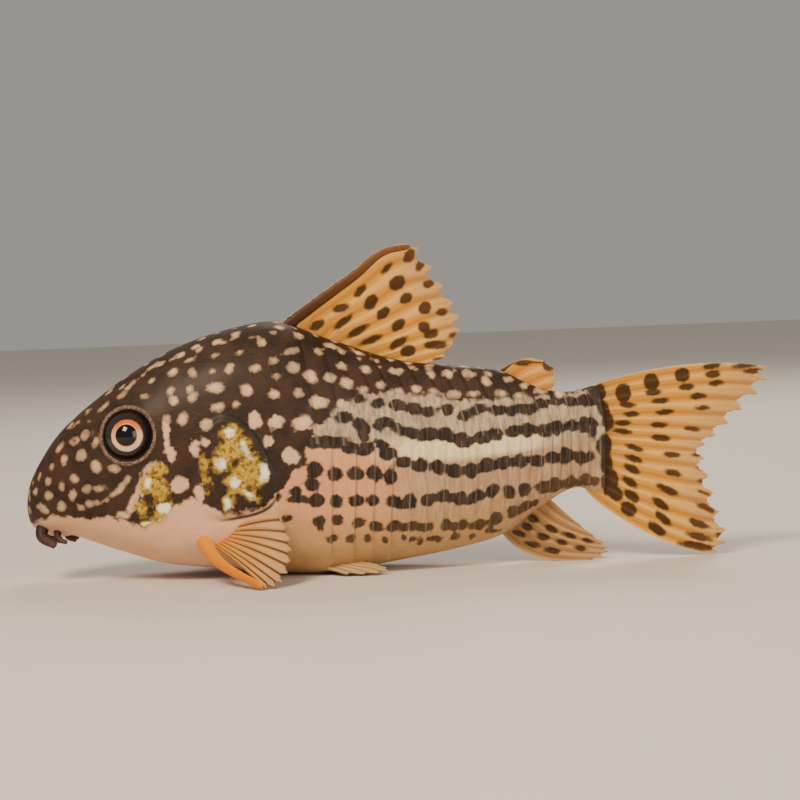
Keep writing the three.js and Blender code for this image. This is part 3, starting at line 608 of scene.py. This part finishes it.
def buildSkin():
    stations = skinStations()
    turn = np.linspace(-math.pi / 2, math.pi / 2, body["around"] // 2 + 1)
    along, angle = np.meshgrid(stations, turn, indexing="ij")
    ring = body["snoutX"] + along**2
    flat = bodyPoint(along, angle)
    normal = bodyNormal(along, angle)
    x, y, z = flat[..., 0], flat[..., 1], flat[..., 2]

    above = smooth(-0.02, 0.02, angle - plates["lateralLine"])
    riseAbove, edgeAbove = plateRise(ring, 0)
    riseBelow, edgeBelow = plateRise(ring, plates["firstPitch"] / 2)
    rise = above * riseAbove + (1 - above) * riseBelow
    onFlank = smooth(*plates["flankLow"], angle) * (1 - smooth(*plates["flankHigh"], angle))
    onFlank *= smooth(*plates["start"], ring)
    groove = hill(angle - plates["lateralLine"], plates["grooveWidth"]) * smooth(-12, -9, ring)
    lift = plates["lift"] * onFlank * rise**0.8 - plates["groove"] * groove

    away = np.stack([x, y, z], -1) - eyeCentre
    fromAxis = np.linalg.norm(away - (away @ eyeLook)[..., None] * eyeLook, axis=-1)
    fromAxis = np.where(away @ eyeLook > 0, fromAxis, 9)
    lift += sculpt["orbitHeight"] * hill(fromAxis - sculpt["orbit"], sculpt["orbitWidth"])
    socketStart, socketEnd, socketDepth = sculpt["socket"]
    lift -= socketDepth * (1 - smooth(socketStart, socketEnd, fromAxis))
    browOut, browHeight = sculpt["brow"]
    lift += browHeight * hill(fromAxis - browOut, 1.0) * smooth(0, 2, z - eyeZ)

    gill = outlineDistance(x, z, sculpt["gillOutline"])
    free = smooth(*sculpt["gillFree"], x)
    lift += sculpt["gillLift"] * smooth(0.0, 0.25 + 1.2 * (1 - free), gill) * (0.35 + 0.65 * free)
    lift -= sculpt["gillGroove"] * free * hill(gill + 0.22, 0.2)

    for nx, nz, size in sculpt["nostrils"]:
        out = np.hypot(x - nx, (z - nz) * 1.2) / size
        nostril = sculpt["nostrilRim"] * hill(out - 1, 0.4) - sculpt["nostrilPit"] * hill(out, 0.55)
        lift += np.where(y < 0, nostril, 0)

    # lips: two ridges under the snout with the mouth's line between them
    wide = np.clip(np.abs(y) / sculpt["mouthHalf"], 0, 1.3)
    under = (angle < -0.35) * (1 - smooth(1.0, 1.25, wide))
    upperLip = sculpt["mouthX"] - 0.75 + 1.5 * wide**2
    lowerLip = sculpt["mouthX"] + 0.45 + 0.6 * wide**2
    lift += under * sculpt["lip"] * hill(x - upperLip, 0.3)
    lift += under * sculpt["lip"] * 0.9 * hill(x - lowerLip, 0.28)
    lift -= under * sculpt["mouthDepth"] * hill(x - (upperLip + lowerLip) / 2, 0.16)

    left = flat + normal * lift[..., None]
    left[..., 2] = np.maximum(left[..., 2], floorGap)
    left[:, 0, 1] = 0
    left[:, -1, 1] = 0
    right = left[:, ::-1] * [1, -1, 1]
    points = np.concatenate([left, right[:, 1:]], axis=1)
    nose = np.zeros((1, points.shape[1], 3)) + [body["snoutX"], 0, body["back"][0][1]]
    middle = points[-1].mean(axis=0)
    tail = np.zeros((1, points.shape[1], 3)) + [middle[0] + 0.2, 0, middle[2]]
    points = np.concatenate([nose, points, tail])
    print("skin grid", points.shape)
    piece = gridPiece("skin", points)

    def bothSides(values, first, last):
        values = np.broadcast_to(values, along.shape)
        whole = np.concatenate([values, values[:, ::-1][:, 1:]], axis=1)
        return np.pad(whole, ((1, 1), (0, 0)), constant_values=((first, last), (0, 0)))

    placed = {
        "pale": asMarks(marks["headPale"], grow=sculpt["paleGrow"]) + backMarks(),
        "dark": asMarks(rowMarks() + marks["frontDark"] + marks["tailBar"]),
        "cheek": asMarks(marks["cheekPale"]),
        "gold": asMarks(marks["gold"]),
        "glint": asMarks(marks["glint"]),
    }
    for name, found in placed.items():
        keep(piece, name, bothSides(insideMarks(left.reshape(-1, 3), found).reshape(along.shape), -1, -1))
    line = np.array([seenOnSkin(px, py)[[0, 2]] for px, py in marks["coverEdge"]])
    keep(piece, "cover", bothSides(z - np.interp(x, line[:, 0], line[:, 1]), 1, 0))
    top, bottom = backAt(fromSnout(x)), bellyAt(fromSnout(x))
    keep(piece, "high", bothSides((z - bottom) / (top - bottom), 0.5, 0.5))
    fromEdge = np.where(above > 0.5, edgeAbove, edgeBelow)
    fromEdge = np.where((onFlank < 0.5) | (fromEdge < 0), 9, fromEdge)  # 9 is far from any edge
    keep(piece, "edge", bothSides(fromEdge, 9, 9))
    keep(piece, "orbit", bothSides(fromAxis, 9, 9))
    keep(piece, "gill", bothSides(gill, -9, -9))
    keep(piece, "lengthwise", bothSides(x, body["snoutX"], 20))
    return closePiece(piece, 60)


skinColours = {
    "dark": "1f140d", "darkWarm": "382419", "darkFine": "4a311d", "pale": "d0b592",
    "paleRim": "86684a", "silver": "9a8468", "silverLight": "cfbc9e", "cream": "dec893",
    "creamLight": "f0e2b4", "lilac": "a5805e", "lilacLight": "cdac88", "peach": "dd9a68",
    "tan": "ac824c", "tanLight": "c69e6c", "throat": "e2b795", "throatWarm": "c98f62",
    "gold": "c09a28", "goldDeep": "55350f", "glint": "fffae0", "blotch": "190e09",
    # the socket colour is painted shade in the hollow round the eye
    "blotchWarm": "332014", "orbit": "83695a", "orbitDark": "4d392c", "socket": "110806",
    # the plates' pale edge colour is a painted highlight
    # the slit colour is painted shade in the gill opening
    "slit": "120906", "headLine": "0e0704", "plateLine": "b09a7c",
}
skinBands = {  # each from where to where it blends
    "silver": (0.46, 0.54),  # as a share of the body's height
    "cream": (0.48, 0.53), "creamTop": (0.6, 0.65), "peachTop": (0.52, 0.62),
    "tanTop": (0.1, 0.32), "blotchFade": (0.12, 0.3),
    "creamStart": (-4.0, 1.0),  # in millimetres along the body
    "creamEnd": (11.5, 15.5), "peachEnd": (-4.0, 3.0), "tanEnd": (7.0, 12.0),
    "throat": (10.5, 14.0),  # in millimetres towards the snout
    # the painted shade of the gill slit starts and ends here, in millimetres towards the snout
    "snoutDim": (24.0, 30.0), "slitStart": (11.0, 12.5), "slitEnd": (15.5, 18.0),
}


def skinMaterial():
    c = colours(skinColours)
    at = SimpleNamespace(**skinBands)
    material, s, shader = newMaterial("skin", {"Coat Weight": 0.06, "Coat Roughness": 0.25,
                                               "Specular IOR Level": 0.25})
    ragged = (s.noise(0.45, 4.0) - 0.5) * 0.4 + (s.noise(1.3, 2.0) - 0.5) * 0.7
    soft = s.noise(2.2, 3.0)
    fine = s.noise(0.16, 2.0)
    high = s.attribute("high")
    along = s.attribute("lengthwise")
    ahead = -along

    def mark(name, wobble, outside, inside):
        # 1 inside the marks of this name, with a ragged edge
        return (s.attribute(name) + ragged * wobble).step(outside, inside)

    cover = mark("cover", 2.2, -0.25, 0.25)
    cheek = mark("cheek", 1.4, -0.1, 0.2)
    pale = mark("pale", 1.0, -0.07, 0.1)
    paleCore = mark("pale", 1.0, 0.0, 0.35)
    dark = mark("dark", 1.0, -0.1, 0.14)
    gold = mark("gold", 2.4, -0.3, 0.3)
    glint = mark("glint", 1.2, -0.1, 0.25)
    streaks = s.noise(0.3, 2.0, (1.0, 1.0, 0.12)).step(0.38, 0.62)

    deep = soft.step(0.35, 0.65).mix(c.dark, c.darkWarm)
    deep = (fine.step(0.3, 0.75) * 0.35).mix(deep, c.darkFine)
    dim = ahead.step(*at.snoutDim) * 0.35
    paleTone = (paleCore * (0.45 + 0.55 * soft.step(0.3, 0.6))).mix(c.paleRim, c.pale)
    paleTone = dim.mix(paleTone, c.paleRim)
    headBack = pale.mix(deep, paleTone)

    silver = (streaks * 0.6).mix(c.silver, c.silverLight)
    silver = (soft.step(0.4, 0.7) * 0.35).mix(silver, c.paleRim)
    lilac = (streaks * 0.45).mix(c.lilac, c.lilacLight)
    cream = (streaks * 0.6).mix(c.cream, c.creamLight)
    tan = (soft * 0.8).mix(c.tan, c.tanLight)
    ground = high.step(*at.silver).mix(lilac, silver)
    band = high.step(*at.cream) * (1.0 - high.step(*at.creamTop)) * along.step(*at.creamStart)
    ground = (band * (1.0 - along.step(*at.creamEnd))).mix(ground, cream)
    peach = (1.0 - high.step(*at.peachTop)) * (1.0 - along.step(*at.peachEnd))
    ground = (peach * 0.7).mix(ground, c.peach)
    low = 1.0 - (high + (soft - 0.5) * 0.1).step(*at.tanTop)
    ground = (low * (1.0 - along.step(*at.tanEnd))).mix(ground, tan)
    throat = (soft * 0.6).mix(c.throat, c.throatWarm)
    ground = ahead.step(*at.throat).mix(ground, throat)
    blotch = (fine.step(0.3, 0.7) * 0.4).mix(c.blotch, c.blotchWarm)
    blotch = (streaks * 0.16).mix(blotch, c.paleRim)
    blotch = ((1.0 - high.step(*at.blotchFade)) * 0.14).mix(blotch, c.tan)
    flank = dark.mix(ground, blotch)

    grain = s.noise(0.42, 4.0).step(0.46, 0.62)
    gilt = (grain * 0.75).mix(c.gold, c.goldDeep)
    gilt = (fine.step(0.55, 0.75) * 0.6).mix(gilt, c.creamLight)
    headSide = (cheek * 0.9).mix(headBack, (soft * 0.7).mix(c.throat, c.lilacLight))
    headSide = gold.mix(headSide, gilt)
    whole = cover.mix(flank, headSide)
    whole = glint.mix(whole, c.glint)

    # along the plates' edges: a painted highlight on the flank, and a dark line on the back
    line = 1.0 - s.attribute("edge").step(0.03, 0.16)
    edgeHighlightAndLine = cover.mix(c.plateLine, c.headLine)
    whole = (line * (0.1 + 0.4 * fine)).mix(whole, edgeHighlightAndLine)
    fromRing = s.attribute("orbit") - sculpt["orbit"]
    ring = fromRing.step(-0.2, -0.1) * (1.0 - fromRing.step(0.1, 0.22))
    whole = ring.mix(whole, fine.step(0.4, 0.6).mix(c.orbit, c.orbitDark))
    # painted shade: near-black in the hollow round the eye, inside the ring
    whole = (1.0 - fromRing.step(-0.22, -0.14)).mix(whole, c.socket)
    # painted shade: a dark band in the gill opening along the gill cover's free edge
    gill = s.attribute("gill")
    slit = gill.step(-0.42, -0.2) * (1.0 - gill.step(-0.12, 0.02))
    slit = slit * ahead.step(*at.slitStart) * (1.0 - ahead.step(*at.slitEnd))
    whole = (slit * 0.9).mix(whole, c.slit)
    plug(whole, shader, "Base Color")
    sheen = glint * 0.5 + gold * 0.4
    plug(0.38 + 0.25 * fine + 0.1 * cover - sheen * 0.2, shader, "Roughness")
    plug(gold * 0.35, shader, "Metallic")
    relief = fine * 0.6 + s.cells(0.22) * 0.5 + s.noise(0.7, 3.0)
    bump(shader, relief, 0.45, 0.12)
    return material


handIn(buildSkin(), skinMaterial(), "skin",
       "head", "trunk", "tail_stem", "gill_cover_left", "gill_cover_right")

print("eyes")
eyes = {
    "radius": 2.78, "dome": 0.26, "domeWidth": 0.44, "pupil": 1.02, "iris": 1.46,
    "rings": 90, "around": 96,
}
eyeColours = {
    "iris": "f3d9c4", "irisTop": "c4582a", "irisGold": "e2973f", "irisRim": "f2a04e",
    "around": "1c1311", "aroundWarm": "3a2721", "aroundEdge": "120c0b", "pupil": "07090e",
}


def eyeMaterial():
    material, s, shader = newMaterial("eye", {"Coat Weight": 0.3, "Coat Roughness": 0.02,
                                              "Specular IOR Level": 0.3})
    c = colours(eyeColours)
    away, turn = s.attribute("away"), s.attribute("turn")
    fromPupil, fromIris = away - eyes["pupil"], away - eyes["iris"]
    fine = s.noise(0.12, 3.0)
    ragged = (s.noise(0.3, 3.0) - 0.5) * 0.1
    iris = turn.step(-0.7, 0.9).mix(c.iris, c.irisTop)
    iris = (fine.step(0.35, 0.7) * 0.5).mix(iris, c.irisGold)
    inner = (1.0 - fromPupil.step(0.03, 0.16)).mix(iris, c.irisRim)
    around = (fine * 0.6).mix(c.around, c.aroundWarm)
    around = away.step(1.9, 2.4).mix(around, c.aroundEdge)
    whole = (fromIris + ragged).step(-0.06, 0.1).mix(inner, around)
    whole = (1.0 - fromPupil.step(-0.03, 0.03)).mix(whole, c.pupil)
    plug(whole, shader, "Base Color")
    plug(0.04 + 0.1 * fine, shader, "Roughness")
    return material


def addEyes():
    material = eyeMaterial()
    turns = np.linspace(0, math.pi, eyes["rings"])
    spin = np.linspace(0, 2 * math.pi, eyes["around"] + 1)
    radius = eyes["radius"] + eyes["dome"] * np.exp(-((turns / eyes["domeWidth"]) ** 2))
    upwards = np.array([0, 0, 1.0]) - eyeLook * eyeLook[2]
    upwards /= np.linalg.norm(upwards)
    sideways = np.cross(eyeLook, upwards)
    for name, flip in (("eye_left", 1), ("eye_right", -1)):
        out = (radius * np.sin(turns))[:, None]
        points = (
            eyeCentre
            + eyeLook * (radius * np.cos(turns))[:, None, None]
            + upwards * (out * np.sin(spin))[..., None]
            + sideways * (out * np.cos(spin))[..., None]
        ) * [1, flip, 1]
        piece = gridPiece(name + "_ball", points)
        keep(piece, "away", np.where(turns[:, None] < math.pi / 2, out + 0 * spin, 9))
        keep(piece, "turn", np.sin(spin) + 0 * out)
        closePiece(piece, 80)
        handIn(piece, material, "eye", name)


addEyes()

print("barbels")
barbels = {  # the line of each on the left side, its radius at the root and at the end
    "upper": ([(-34.2, -1.1, 5.6), (-34.35, -1.95, 4.4), (-33.0, -2.25, 3.5)], 0.72, 0.34),
    "lower": ([(-32.9, -1.3, 5.1), (-32.75, -2.3, 4.25), (-31.9, -2.7, 3.85)], 0.42, 0.2),
    "chin": ([(-32.2, -0.7, 4.8), (-32.0, -0.9, 4.2), (-31.2, -1.05, 3.85)], 0.36, 0.2),
}


def barbelMaterial():
    material, s, shader = newMaterial("barbel", {"Specular IOR Level": 0.25})
    along = s.attribute("along")
    fine = s.noise(0.2, 3.0)
    tone = (along + (fine - 0.5) * 0.4).step(0.15, 0.95).mix(colour("261814"), colour("4d382f"))
    plug(tone, shader, "Base Color")
    plug(0.4 + 0.3 * fine, shader, "Roughness")
    bump(shader, fine + s.cells(0.2), 0.4, 0.06)
    return material


def addBarbels():
    material = barbelMaterial()
    for name, (line, root, end) in barbels.items():
        for side, flip in (("left", 1), ("right", -1)):
            points, t, turn = rodPoints(np.array(line) * [1, flip, 1], root, end)
            piece = gridPiece(f"{name}_barbel_{side}_rod", points)
            keep(piece, "along", t[:, None] + 0 * turn)
            closePiece(piece, 80)
            handIn(piece, material, "barbel", f"{name}_barbel_{side}")


addBarbels()

print("fins")
fins = {
    "root": 0.2,  # half thicknesses in millimetres
    "tip": 0.07, "ridge": 0.085, "notch": 0.06,
    "ray": 0.16,  # a ray's width as a share of the space between rays
    "fork": 0.16, "tooth": 0.22, "forkFrom": 0.45, "ragged": 0.012, "joint": 0.42,
    "perRay": 12, "rows": 70,
}
finTones = {"tip": "a98a62", "spot": "200d05", "spotTip": "55300f", "joint": "5e3812"}
webs = {  # membrane, ray, root, the line between rays and its strength
    "finWeb": ("cf9130", "e8bd6c", "b9822e", "7a4512", 0.35),
    "pectoralWeb": ("b98444", "d4a870", "e8912a", "2c1606", 0.9),
    "analWeb": ("a37a48", "c49c66", "8f6c44", "5c3b1c", 0.4),
    "pelvicWeb": ("b08c58", "d9bf90", "f4e6cc", "6b4a26", 0.4),
}
spines = {  # root, tip, front edge
    "brownSpine": ("3b2010", "75471c", "b59a78"),
    "orangeSpine": ("d88800", "d47000", "f0a60c"),
}


def finMaterial(name):
    *tones, lineAmount = webs[name]
    web, ray, root, line = (colour(tone) for tone in tones)
    c = colours(finTones)
    material, s, shader = newMaterial(name, {"Specular IOR Level": 0.2, "Subsurface Weight": 0.25,
                                             "Subsurface Scale": 0.0006})
    ridge, reach = s.attribute("ridge"), s.attribute("reach")
    fine = s.noise(0.25, 3.0)
    ragged = (s.noise(0.5, 3.0) - 0.5) * 0.3
    tone = (ridge.step(0.15, 0.8) * 0.7).mix(web, ray)
    tone = (fine * 0.35).mix(tone, web)
    tone = (reach.step(0.62, 1.0) * 0.55).mix(tone, c.tip)
    tone = ((1.0 - reach.step(0.0, 0.4)) * 0.75).mix(tone, root)
    between = s.attribute("gap").step(0.62, 0.92) * lineAmount
    tone = between.mix(tone, line)
    spot = (s.attribute("dark") + ragged).step(-0.12, 0.1)
    tone = (spot * 0.92).mix(tone, (reach.step(0.6, 1.0) * 0.6).mix(c.spot, c.spotTip))
    joints = s.attribute("joints").step(0.75, 0.95) * ridge.step(0.3, 0.8)
    tone = (joints * 0.25).mix(tone, c.joint)
    plug(tone, shader, "Base Color")
    plug(0.35 + 0.25 * fine, shader, "Roughness")
    bump(shader, ridge * 0.5 - joints * 0.25 + fine * 0.25, 0.5, 0.08)
    return material


def spineMaterial(name):
    root, tip, front = (colour(tone) for tone in spines[name])
    material, s, shader = newMaterial(name, {"Specular IOR Level": 0.2})
    along, lead = s.attribute("along"), s.attribute("lead")
    fine = s.noise(0.3, 3.0)
    tone = (along + (fine - 0.5) * 0.5).step(0.0, 0.9).mix(root, tip)
    tone = (fine.step(0.45, 0.7) * 0.35).mix(tone, root)
    tone = (lead + (fine - 0.5) * 0.3).step(0.8, 0.97).mix(tone, front)
    plug(tone, shader, "Base Color")
    plug(0.3 + 0.25 * fine, shader, "Roughness")
    bump(shader, fine + s.noise(0.12, 2.0), 0.35, 0.07)
    return material


def flat3(points):
    return [(p[0], 0.0, p[1]) if len(p) == 2 else p for p in points]


def vector3(x, y, z):
    return np.stack(np.broadcast_arrays(x, y, z), -1)


def finPiece(name, fin, bend, spots, flip):
    # rays fan from base to edge; each ray is a ridge that forks beyond its middle
    gaps = fin["rays"] - 1
    columns = gaps * fins["perRay"] + 1
    ray = np.linspace(0, 1, columns)
    place = np.linspace(0, 1, fins["rows"])[:, None]
    root = catmull(flat3(fin["base"]), ray)
    tip = catmull(flat3(fin["edge"]), ray)
    offset = np.abs(ray * gaps - np.round(ray * gaps))  # 0 on a ray and 0.5 halfway to the next
    fork = fins["fork"] * smooth(fins["forkFrom"], 1.0, place)
    ridge = np.maximum(hill(offset - fork, fins["ray"]), hill(offset + fork, fins["ray"]))
    ragged = np.array([random.uniform(-fins["ragged"], fins["ragged"]) for _ in range(columns)])
    reach = place * (1 - fins["notch"] * (1 - hill(offset, fins["tooth"])) + ragged)
    middle = root + (tip - root) * reach[..., None] + bend(ray[None], reach)
    normal = np.cross(np.gradient(middle, axis=1), np.gradient(middle, axis=0))
    normal /= np.maximum(np.linalg.norm(normal, axis=-1, keepdims=True), 1e-9)
    half = fins["root"] + (fins["tip"] - fins["root"]) * place**0.7
    half = half + fins["ridge"] * ridge * (1 - 0.65 * place)
    half *= np.minimum(1, (1 - place) / 0.03 + 0.25)  # the edge is thin
    front = middle + normal * half[..., None]
    back = middle - normal * half[..., None]

    def bothFaces(ahead, behind, last):
        whole = np.concatenate([ahead, behind[:, ::-1], ahead[:, :1]], axis=1)
        end = np.concatenate([last, last[:, ::-1], last[:, :1]], axis=1)
        return np.concatenate([whole, end])

    points = bothFaces(front, back, middle[-1:])
    if fin.get("floor"):
        points[..., 2] = np.maximum(points[..., 2], floorGap)
    piece = gridPiece(name, points * [1, flip, 1])
    length = np.linalg.norm(tip - root, axis=-1) * reach
    values = {
        "dark": insideMarks(middle.reshape(-1, 3) * [1, 0, 1], spots).reshape(reach.shape),
        "ridge": ridge,
        "gap": np.broadcast_to(offset * 2, reach.shape),
        "reach": reach,
        "joints": 0.5 + 0.5 * np.cos(length * 2 * math.pi / fins["joint"]),
    }
    for key, value in values.items():
        keep(piece, key, bothFaces(value, value, value[-1:]))
    return closePiece(piece, 60)


def addFin(name, fin, bend, material, *nodes, spots=(), flip=1):
    piece = finPiece(name, fin, bend, asMarks(spots, fromPhoto), flip)
    handIn(piece, material, "fin", *nodes)


def addSpine(name, fin, squash, material, slot, node, flip=1):
    line, radius = np.array(flat3(fin["spine"])) * [1, flip, 1], fin["spineRadius"]
    points, t, turn = rodPoints(line, radius, radius * 0.4, 28, 60, squash)
    piece = gridPiece(name, points)
    keep(piece, "along", t[:, None] + 0 * turn)
    keep(piece, "lead", np.sin(turn) + 0 * t[:, None])
    handIn(closePiece(piece, 80), material, slot, node)


amber, tawny, grey, ivory = (finMaterial(name) for name in webs)
brownSpine, orangeSpine = (spineMaterial(name) for name in spines)

dorsal = {
    "rays": 8,
    "base": [(-10.3, 22.4), (0.6, 18.8)],
    "edge": [(2.4, 30.65), (4.2, 27.3), (5.8, 24.4), (5.9, 22.0), (4.4, 19.8)],
    "spine": [(-11.2, 22.7), (-8.4, 24.85), (-3.8, 27.95), (-1.1, 29.95), (1.6, 30.5)],
    "spineRadius": 0.74, "belowSpine": 0.12, "lean": 0.35,
    "spots": [
        (317, 325, 8, 4.5, 30), (341, 308, 9, 4, 10), (343, 322, 12, 3.6, 35), (358, 331, 12, 4, 28),
        (371, 340, 12, 3.6, 18), (360, 291, 8, 4, 45), (371, 302, 9, 6, 50), (383, 313, 8, 5, 40),
        (397, 283, 9, 7, 35), (387, 268, 8, 3, 45), (406, 298, 7, 5, 30), (398, 325, 8, 5, 40),
        (398, 343, 11, 4, 28), (408, 351, 8, 6, 10), (425, 308, 7, 6, 45), (424, 327, 6, 6),
        (431, 334, 8, 4.5, 15), (436, 345, 12, 4.5), (409, 256, 8, 5, 60), (420, 265, 7, 4, 60),
        (428, 284, 6, 4, 20), (442, 312, 6, 4, 10), (440, 359, 6, 2), (453, 335, 5, 2.5, 20),
    ],
}


def dorsalBend(ray, reach):
    # the first ray lies along the spine
    (startX, startZ), (endX, endZ) = dorsal["base"][0], dorsal["edge"][0]
    spine = catmull(dorsal["spine"], np.linspace(0, 1, 60))
    onSpine = np.interp(startX + (endX - startX) * reach, spine[:, 0], spine[:, 1]) - dorsal["belowSpine"]
    lift = (onSpine - startZ - (endZ - startZ) * reach) * smooth(0, 0.15, reach)
    return vector3(0, dorsal["lean"] * reach * np.sin(math.pi * ray), lift * (1 - ray) ** 2)


addFin("dorsalWeb", dorsal, dorsalBend, amber, "dorsal_fin", spots=dorsal["spots"])
addSpine("dorsalSpine", dorsal, 0.62, brownSpine, "spine", "dorsal_spine")

adipose = {
    "rays": 4,
    "base": [(9.4, 17.6), (13.9, 15.9)],
    "edge": [(13.9, 19.1), (14.75, 18.4), (14.95, 17.3), (14.55, 16.3)],
    "spine": [(9.0, 17.7), (11.4, 19.0), (14.0, 19.0)],
    "spineRadius": 0.36, "bow": 0.95,
    "spots": [(523, 363, 10, 3), (548, 366, 6, 5, -40)],
}


def adiposeBend(ray, reach):
    return vector3(0, 0, adipose["bow"] * np.sin(math.pi * reach) * (1 - ray) ** 2)


addFin("adiposeWeb", adipose, adiposeBend, amber, "adipose_fin", spots=adipose["spots"])
addSpine("adiposeSpine", adipose, 0.7, brownSpine, "spine", "adipose_spine")

tailFin = {
    "rays": 14,
    "base": [(17.3, 15.9), (17.3, 6.9)],
    "edge": [(35.6, 17.4), (34.5, 15.7), (32.2, 13.4), (30.2, 11.4), (28.7, 9.95), (29.2, 7.4), (29.8, 4.6),
             (30.7, 1.9), (29.9, 0.4)],
    "wave": 0.5, "topBow": 1.5, "bottomBow": -1.6,
    "spots": [
        (623, 393, 8, 10), (628, 405, 8, 3, -5), (631, 414, 8, 3, -2), (623, 423, 9, 3, -3),
        (622, 431, 10, 3, -12), (651, 382, 8, 9), (653, 392, 8, 3.5), (660, 401, 9, 3, 3),
        (665, 412, 9, 3, 3), (659, 425, 9, 3, -2), (661, 438, 10, 3.5, -8), (682, 375, 8, 7),
        (686, 387, 8, 3.5), (698, 396, 8, 3.5, 3), (711, 366, 9, 3, 8), (713, 374, 8, 4, 5),
        (716, 383, 8, 3, 5), (745, 365, 12, 3, 4), (752, 371, 9, 3), (703, 408, 8, 2.5),
        (693, 429, 8, 2.5, -10), (600, 391, 5, 8, -10), (635, 448, 9, 3, -20), (634, 459, 9, 3.4, -22),
        (632, 469, 9, 3.6, -28), (630, 482, 10, 4, -38), (632, 496, 9, 5, -42), (629, 509, 9, 6.5, -42),
        (672, 455, 9, 3, -5), (673, 473, 9, 3.4, -15), (668, 490, 12, 3.8, -28), (661, 504, 11, 4, -40),
        (664, 519, 10, 4, -45), (657, 529, 11, 5, -38), (697, 455, 6, 2), (703, 469, 6, 2, -10),
        (705, 482, 7, 2, -15), (704, 493, 7, 2, -25), (706, 508, 11, 3, -28), (699, 524, 11, 4, -22),
        (700, 537, 13, 3.6, -18), (722, 537, 7, 3, -35), (697, 546, 18, 4, -12),
    ],
}


def tailBend(ray, reach):
    fromMiddle = np.abs(1 - 2 * ray) ** 1.3
    bow = np.where(ray < 0.5, tailFin["topBow"], tailFin["bottomBow"]) * fromMiddle
    return vector3(0, tailFin["wave"] * reach**2 * np.sin(5 * ray),
                   bow * np.sin(math.pi * np.clip(reach, 0, 1)) ** 0.6)


addFin("tailWeb", tailFin, tailBend, amber, "tail_fin_upper", "tail_fin_lower",
       spots=tailFin["spots"] + marks["tailBar"])

anal = {
    "rays": 7,
    "base": [(9.0, 3.4), (13.5, 6.4)],
    "edge": [(17.9, -0.1), (19.4, 0.7), (18.9, 1.6), (16.7, 3.3)],
    "bow": -1.6, "lean": -0.7,
    "floor": True,
    "spots": [
        (533, 519, 6, 4, -25), (527, 527, 6, 3.6, -25), (519, 534, 7, 3, -25), (551, 529, 7, 3.6, -25),
        (543, 537, 7, 3.6, -20), (533, 545, 8, 3.4, -15), (570, 536, 7, 3, -22), (562, 543, 7, 3, -15),
        (552, 551, 8, 3, -10), (588, 541, 6, 2.6, -15), (581, 549, 7, 2.6, -10),
    ],
}


def analBend(ray, reach):
    bow = np.sin(math.pi * np.clip(reach, 0, 1) ** 0.7) * (1 - ray) ** 0.7
    return vector3(0, anal["lean"] * reach**2 * (1 - ray), anal["bow"] * bow)


addFin("analWeb", anal, analBend, grey, "anal_fin", spots=anal["spots"])

pectoral = {
    "rays": 9,
    "base": [(-17.7, -6.4, 3.4), (-16.2, -6.6, 4.9)],
    "edge": [(-12.7, -13.5, 0.12), (-11.3, -12.7, 0.6), (-10.5, -11.2, 2.3), (-10.5, -9.6, 4.2),
             (-11.4, -8.2, 6.4)],
    "spine": [(-18.9, -6.2, 4.2), (-17.0, -9.6, 2.1), (-13.0, -13.9, 0.3)],
    "spineRadius": 0.76, "bow": (0, -0.5, 0.25),
    "floor": True,
}
pelvic = {
    "rays": 6,
    "base": [(-10.4, -2.6, 0.8), (-9.2, -3.6, 1.2)],
    "edge": [(-5.6, -6.2, 0.25), (-3.0, -6.4, 0.25), (-1.6, -5.7, 0.45), (-2.6, -4.6, 0.8)],
    "bow": (0, 0, 0.3),
    "floor": True,
}


def pectoralBend(ray, reach):
    return np.sin(math.pi * reach)[..., None] * pectoral["bow"]


def pelvicBend(ray, reach):
    return np.sin(math.pi * reach)[..., None] * pelvic["bow"]


for side, flip in (("left", 1), ("right", -1)):
    addFin(f"pectoralWeb_{side}", pectoral, pectoralBend, tawny, f"pectoral_fin_{side}", flip=flip)
    addSpine(f"pectoralSpine_{side}", pectoral, 0.8, orangeSpine, "orange_spine",
             f"pectoral_spine_{side}", flip=flip)
    addFin(f"pelvicWeb_{side}", pelvic, pelvicBend, ivory, f"pelvic_fin_{side}", flip=flip)

print("lights and floor")
stage = {
    "floor": 1.2, "floorTone": "d9d3cb", "floorDim": "cfc8bf", "world": "eae4da",
    "worldStrength": 0.42, "aim": (0, 0, 0.012),
    "lights": {  # place, size, power, colour
        "key": ((-0.14, -0.2, 0.26), 0.12, 1.35, "ffe8cc"),
        "fill": ((0.2, -0.24, 0.1), 0.2, 0.5, "fff4ea"),
        "rim": ((0.05, 0.22, 0.2), 0.14, 0.4, "fff6ea"),
    },
}


def addStage():
    bpy.ops.object.select_all(action="DESELECT")
    bpy.ops.mesh.primitive_plane_add(size=stage["floor"])
    floor = bpy.context.object
    floor.name = "floor"
    material, s, shader = newMaterial("floor", {"Roughness": 0.7})
    tone = (s.noise(9.0, 4.0) * 0.5).mix(colour(stage["floorTone"]), colour(stage["floorDim"]))
    plug(tone, shader, "Base Color")
    floor.data.materials.append(material)
    world = bpy.data.worlds.new("studio")
    scene.world = world
    world.use_nodes = True
    background = world.node_tree.nodes["Background"]
    background.inputs["Color"].default_value = colour(stage["world"])
    background.inputs["Strength"].default_value = stage["worldStrength"]
    for name, (place, size, power, tone) in stage["lights"].items():
        data = bpy.data.lights.new(name, "AREA")
        data.size = size
        data.energy = power
        data.color = colour(tone)[:3]
        light = bpy.data.objects.new(name, data)
        scene.collection.objects.link(light)
        light.location = place
        light.rotation_mode = "QUATERNION"
        light.rotation_quaternion = (Vector(stage["aim"]) - Vector(place)).to_track_quat("-Z", "Y")


addStage()
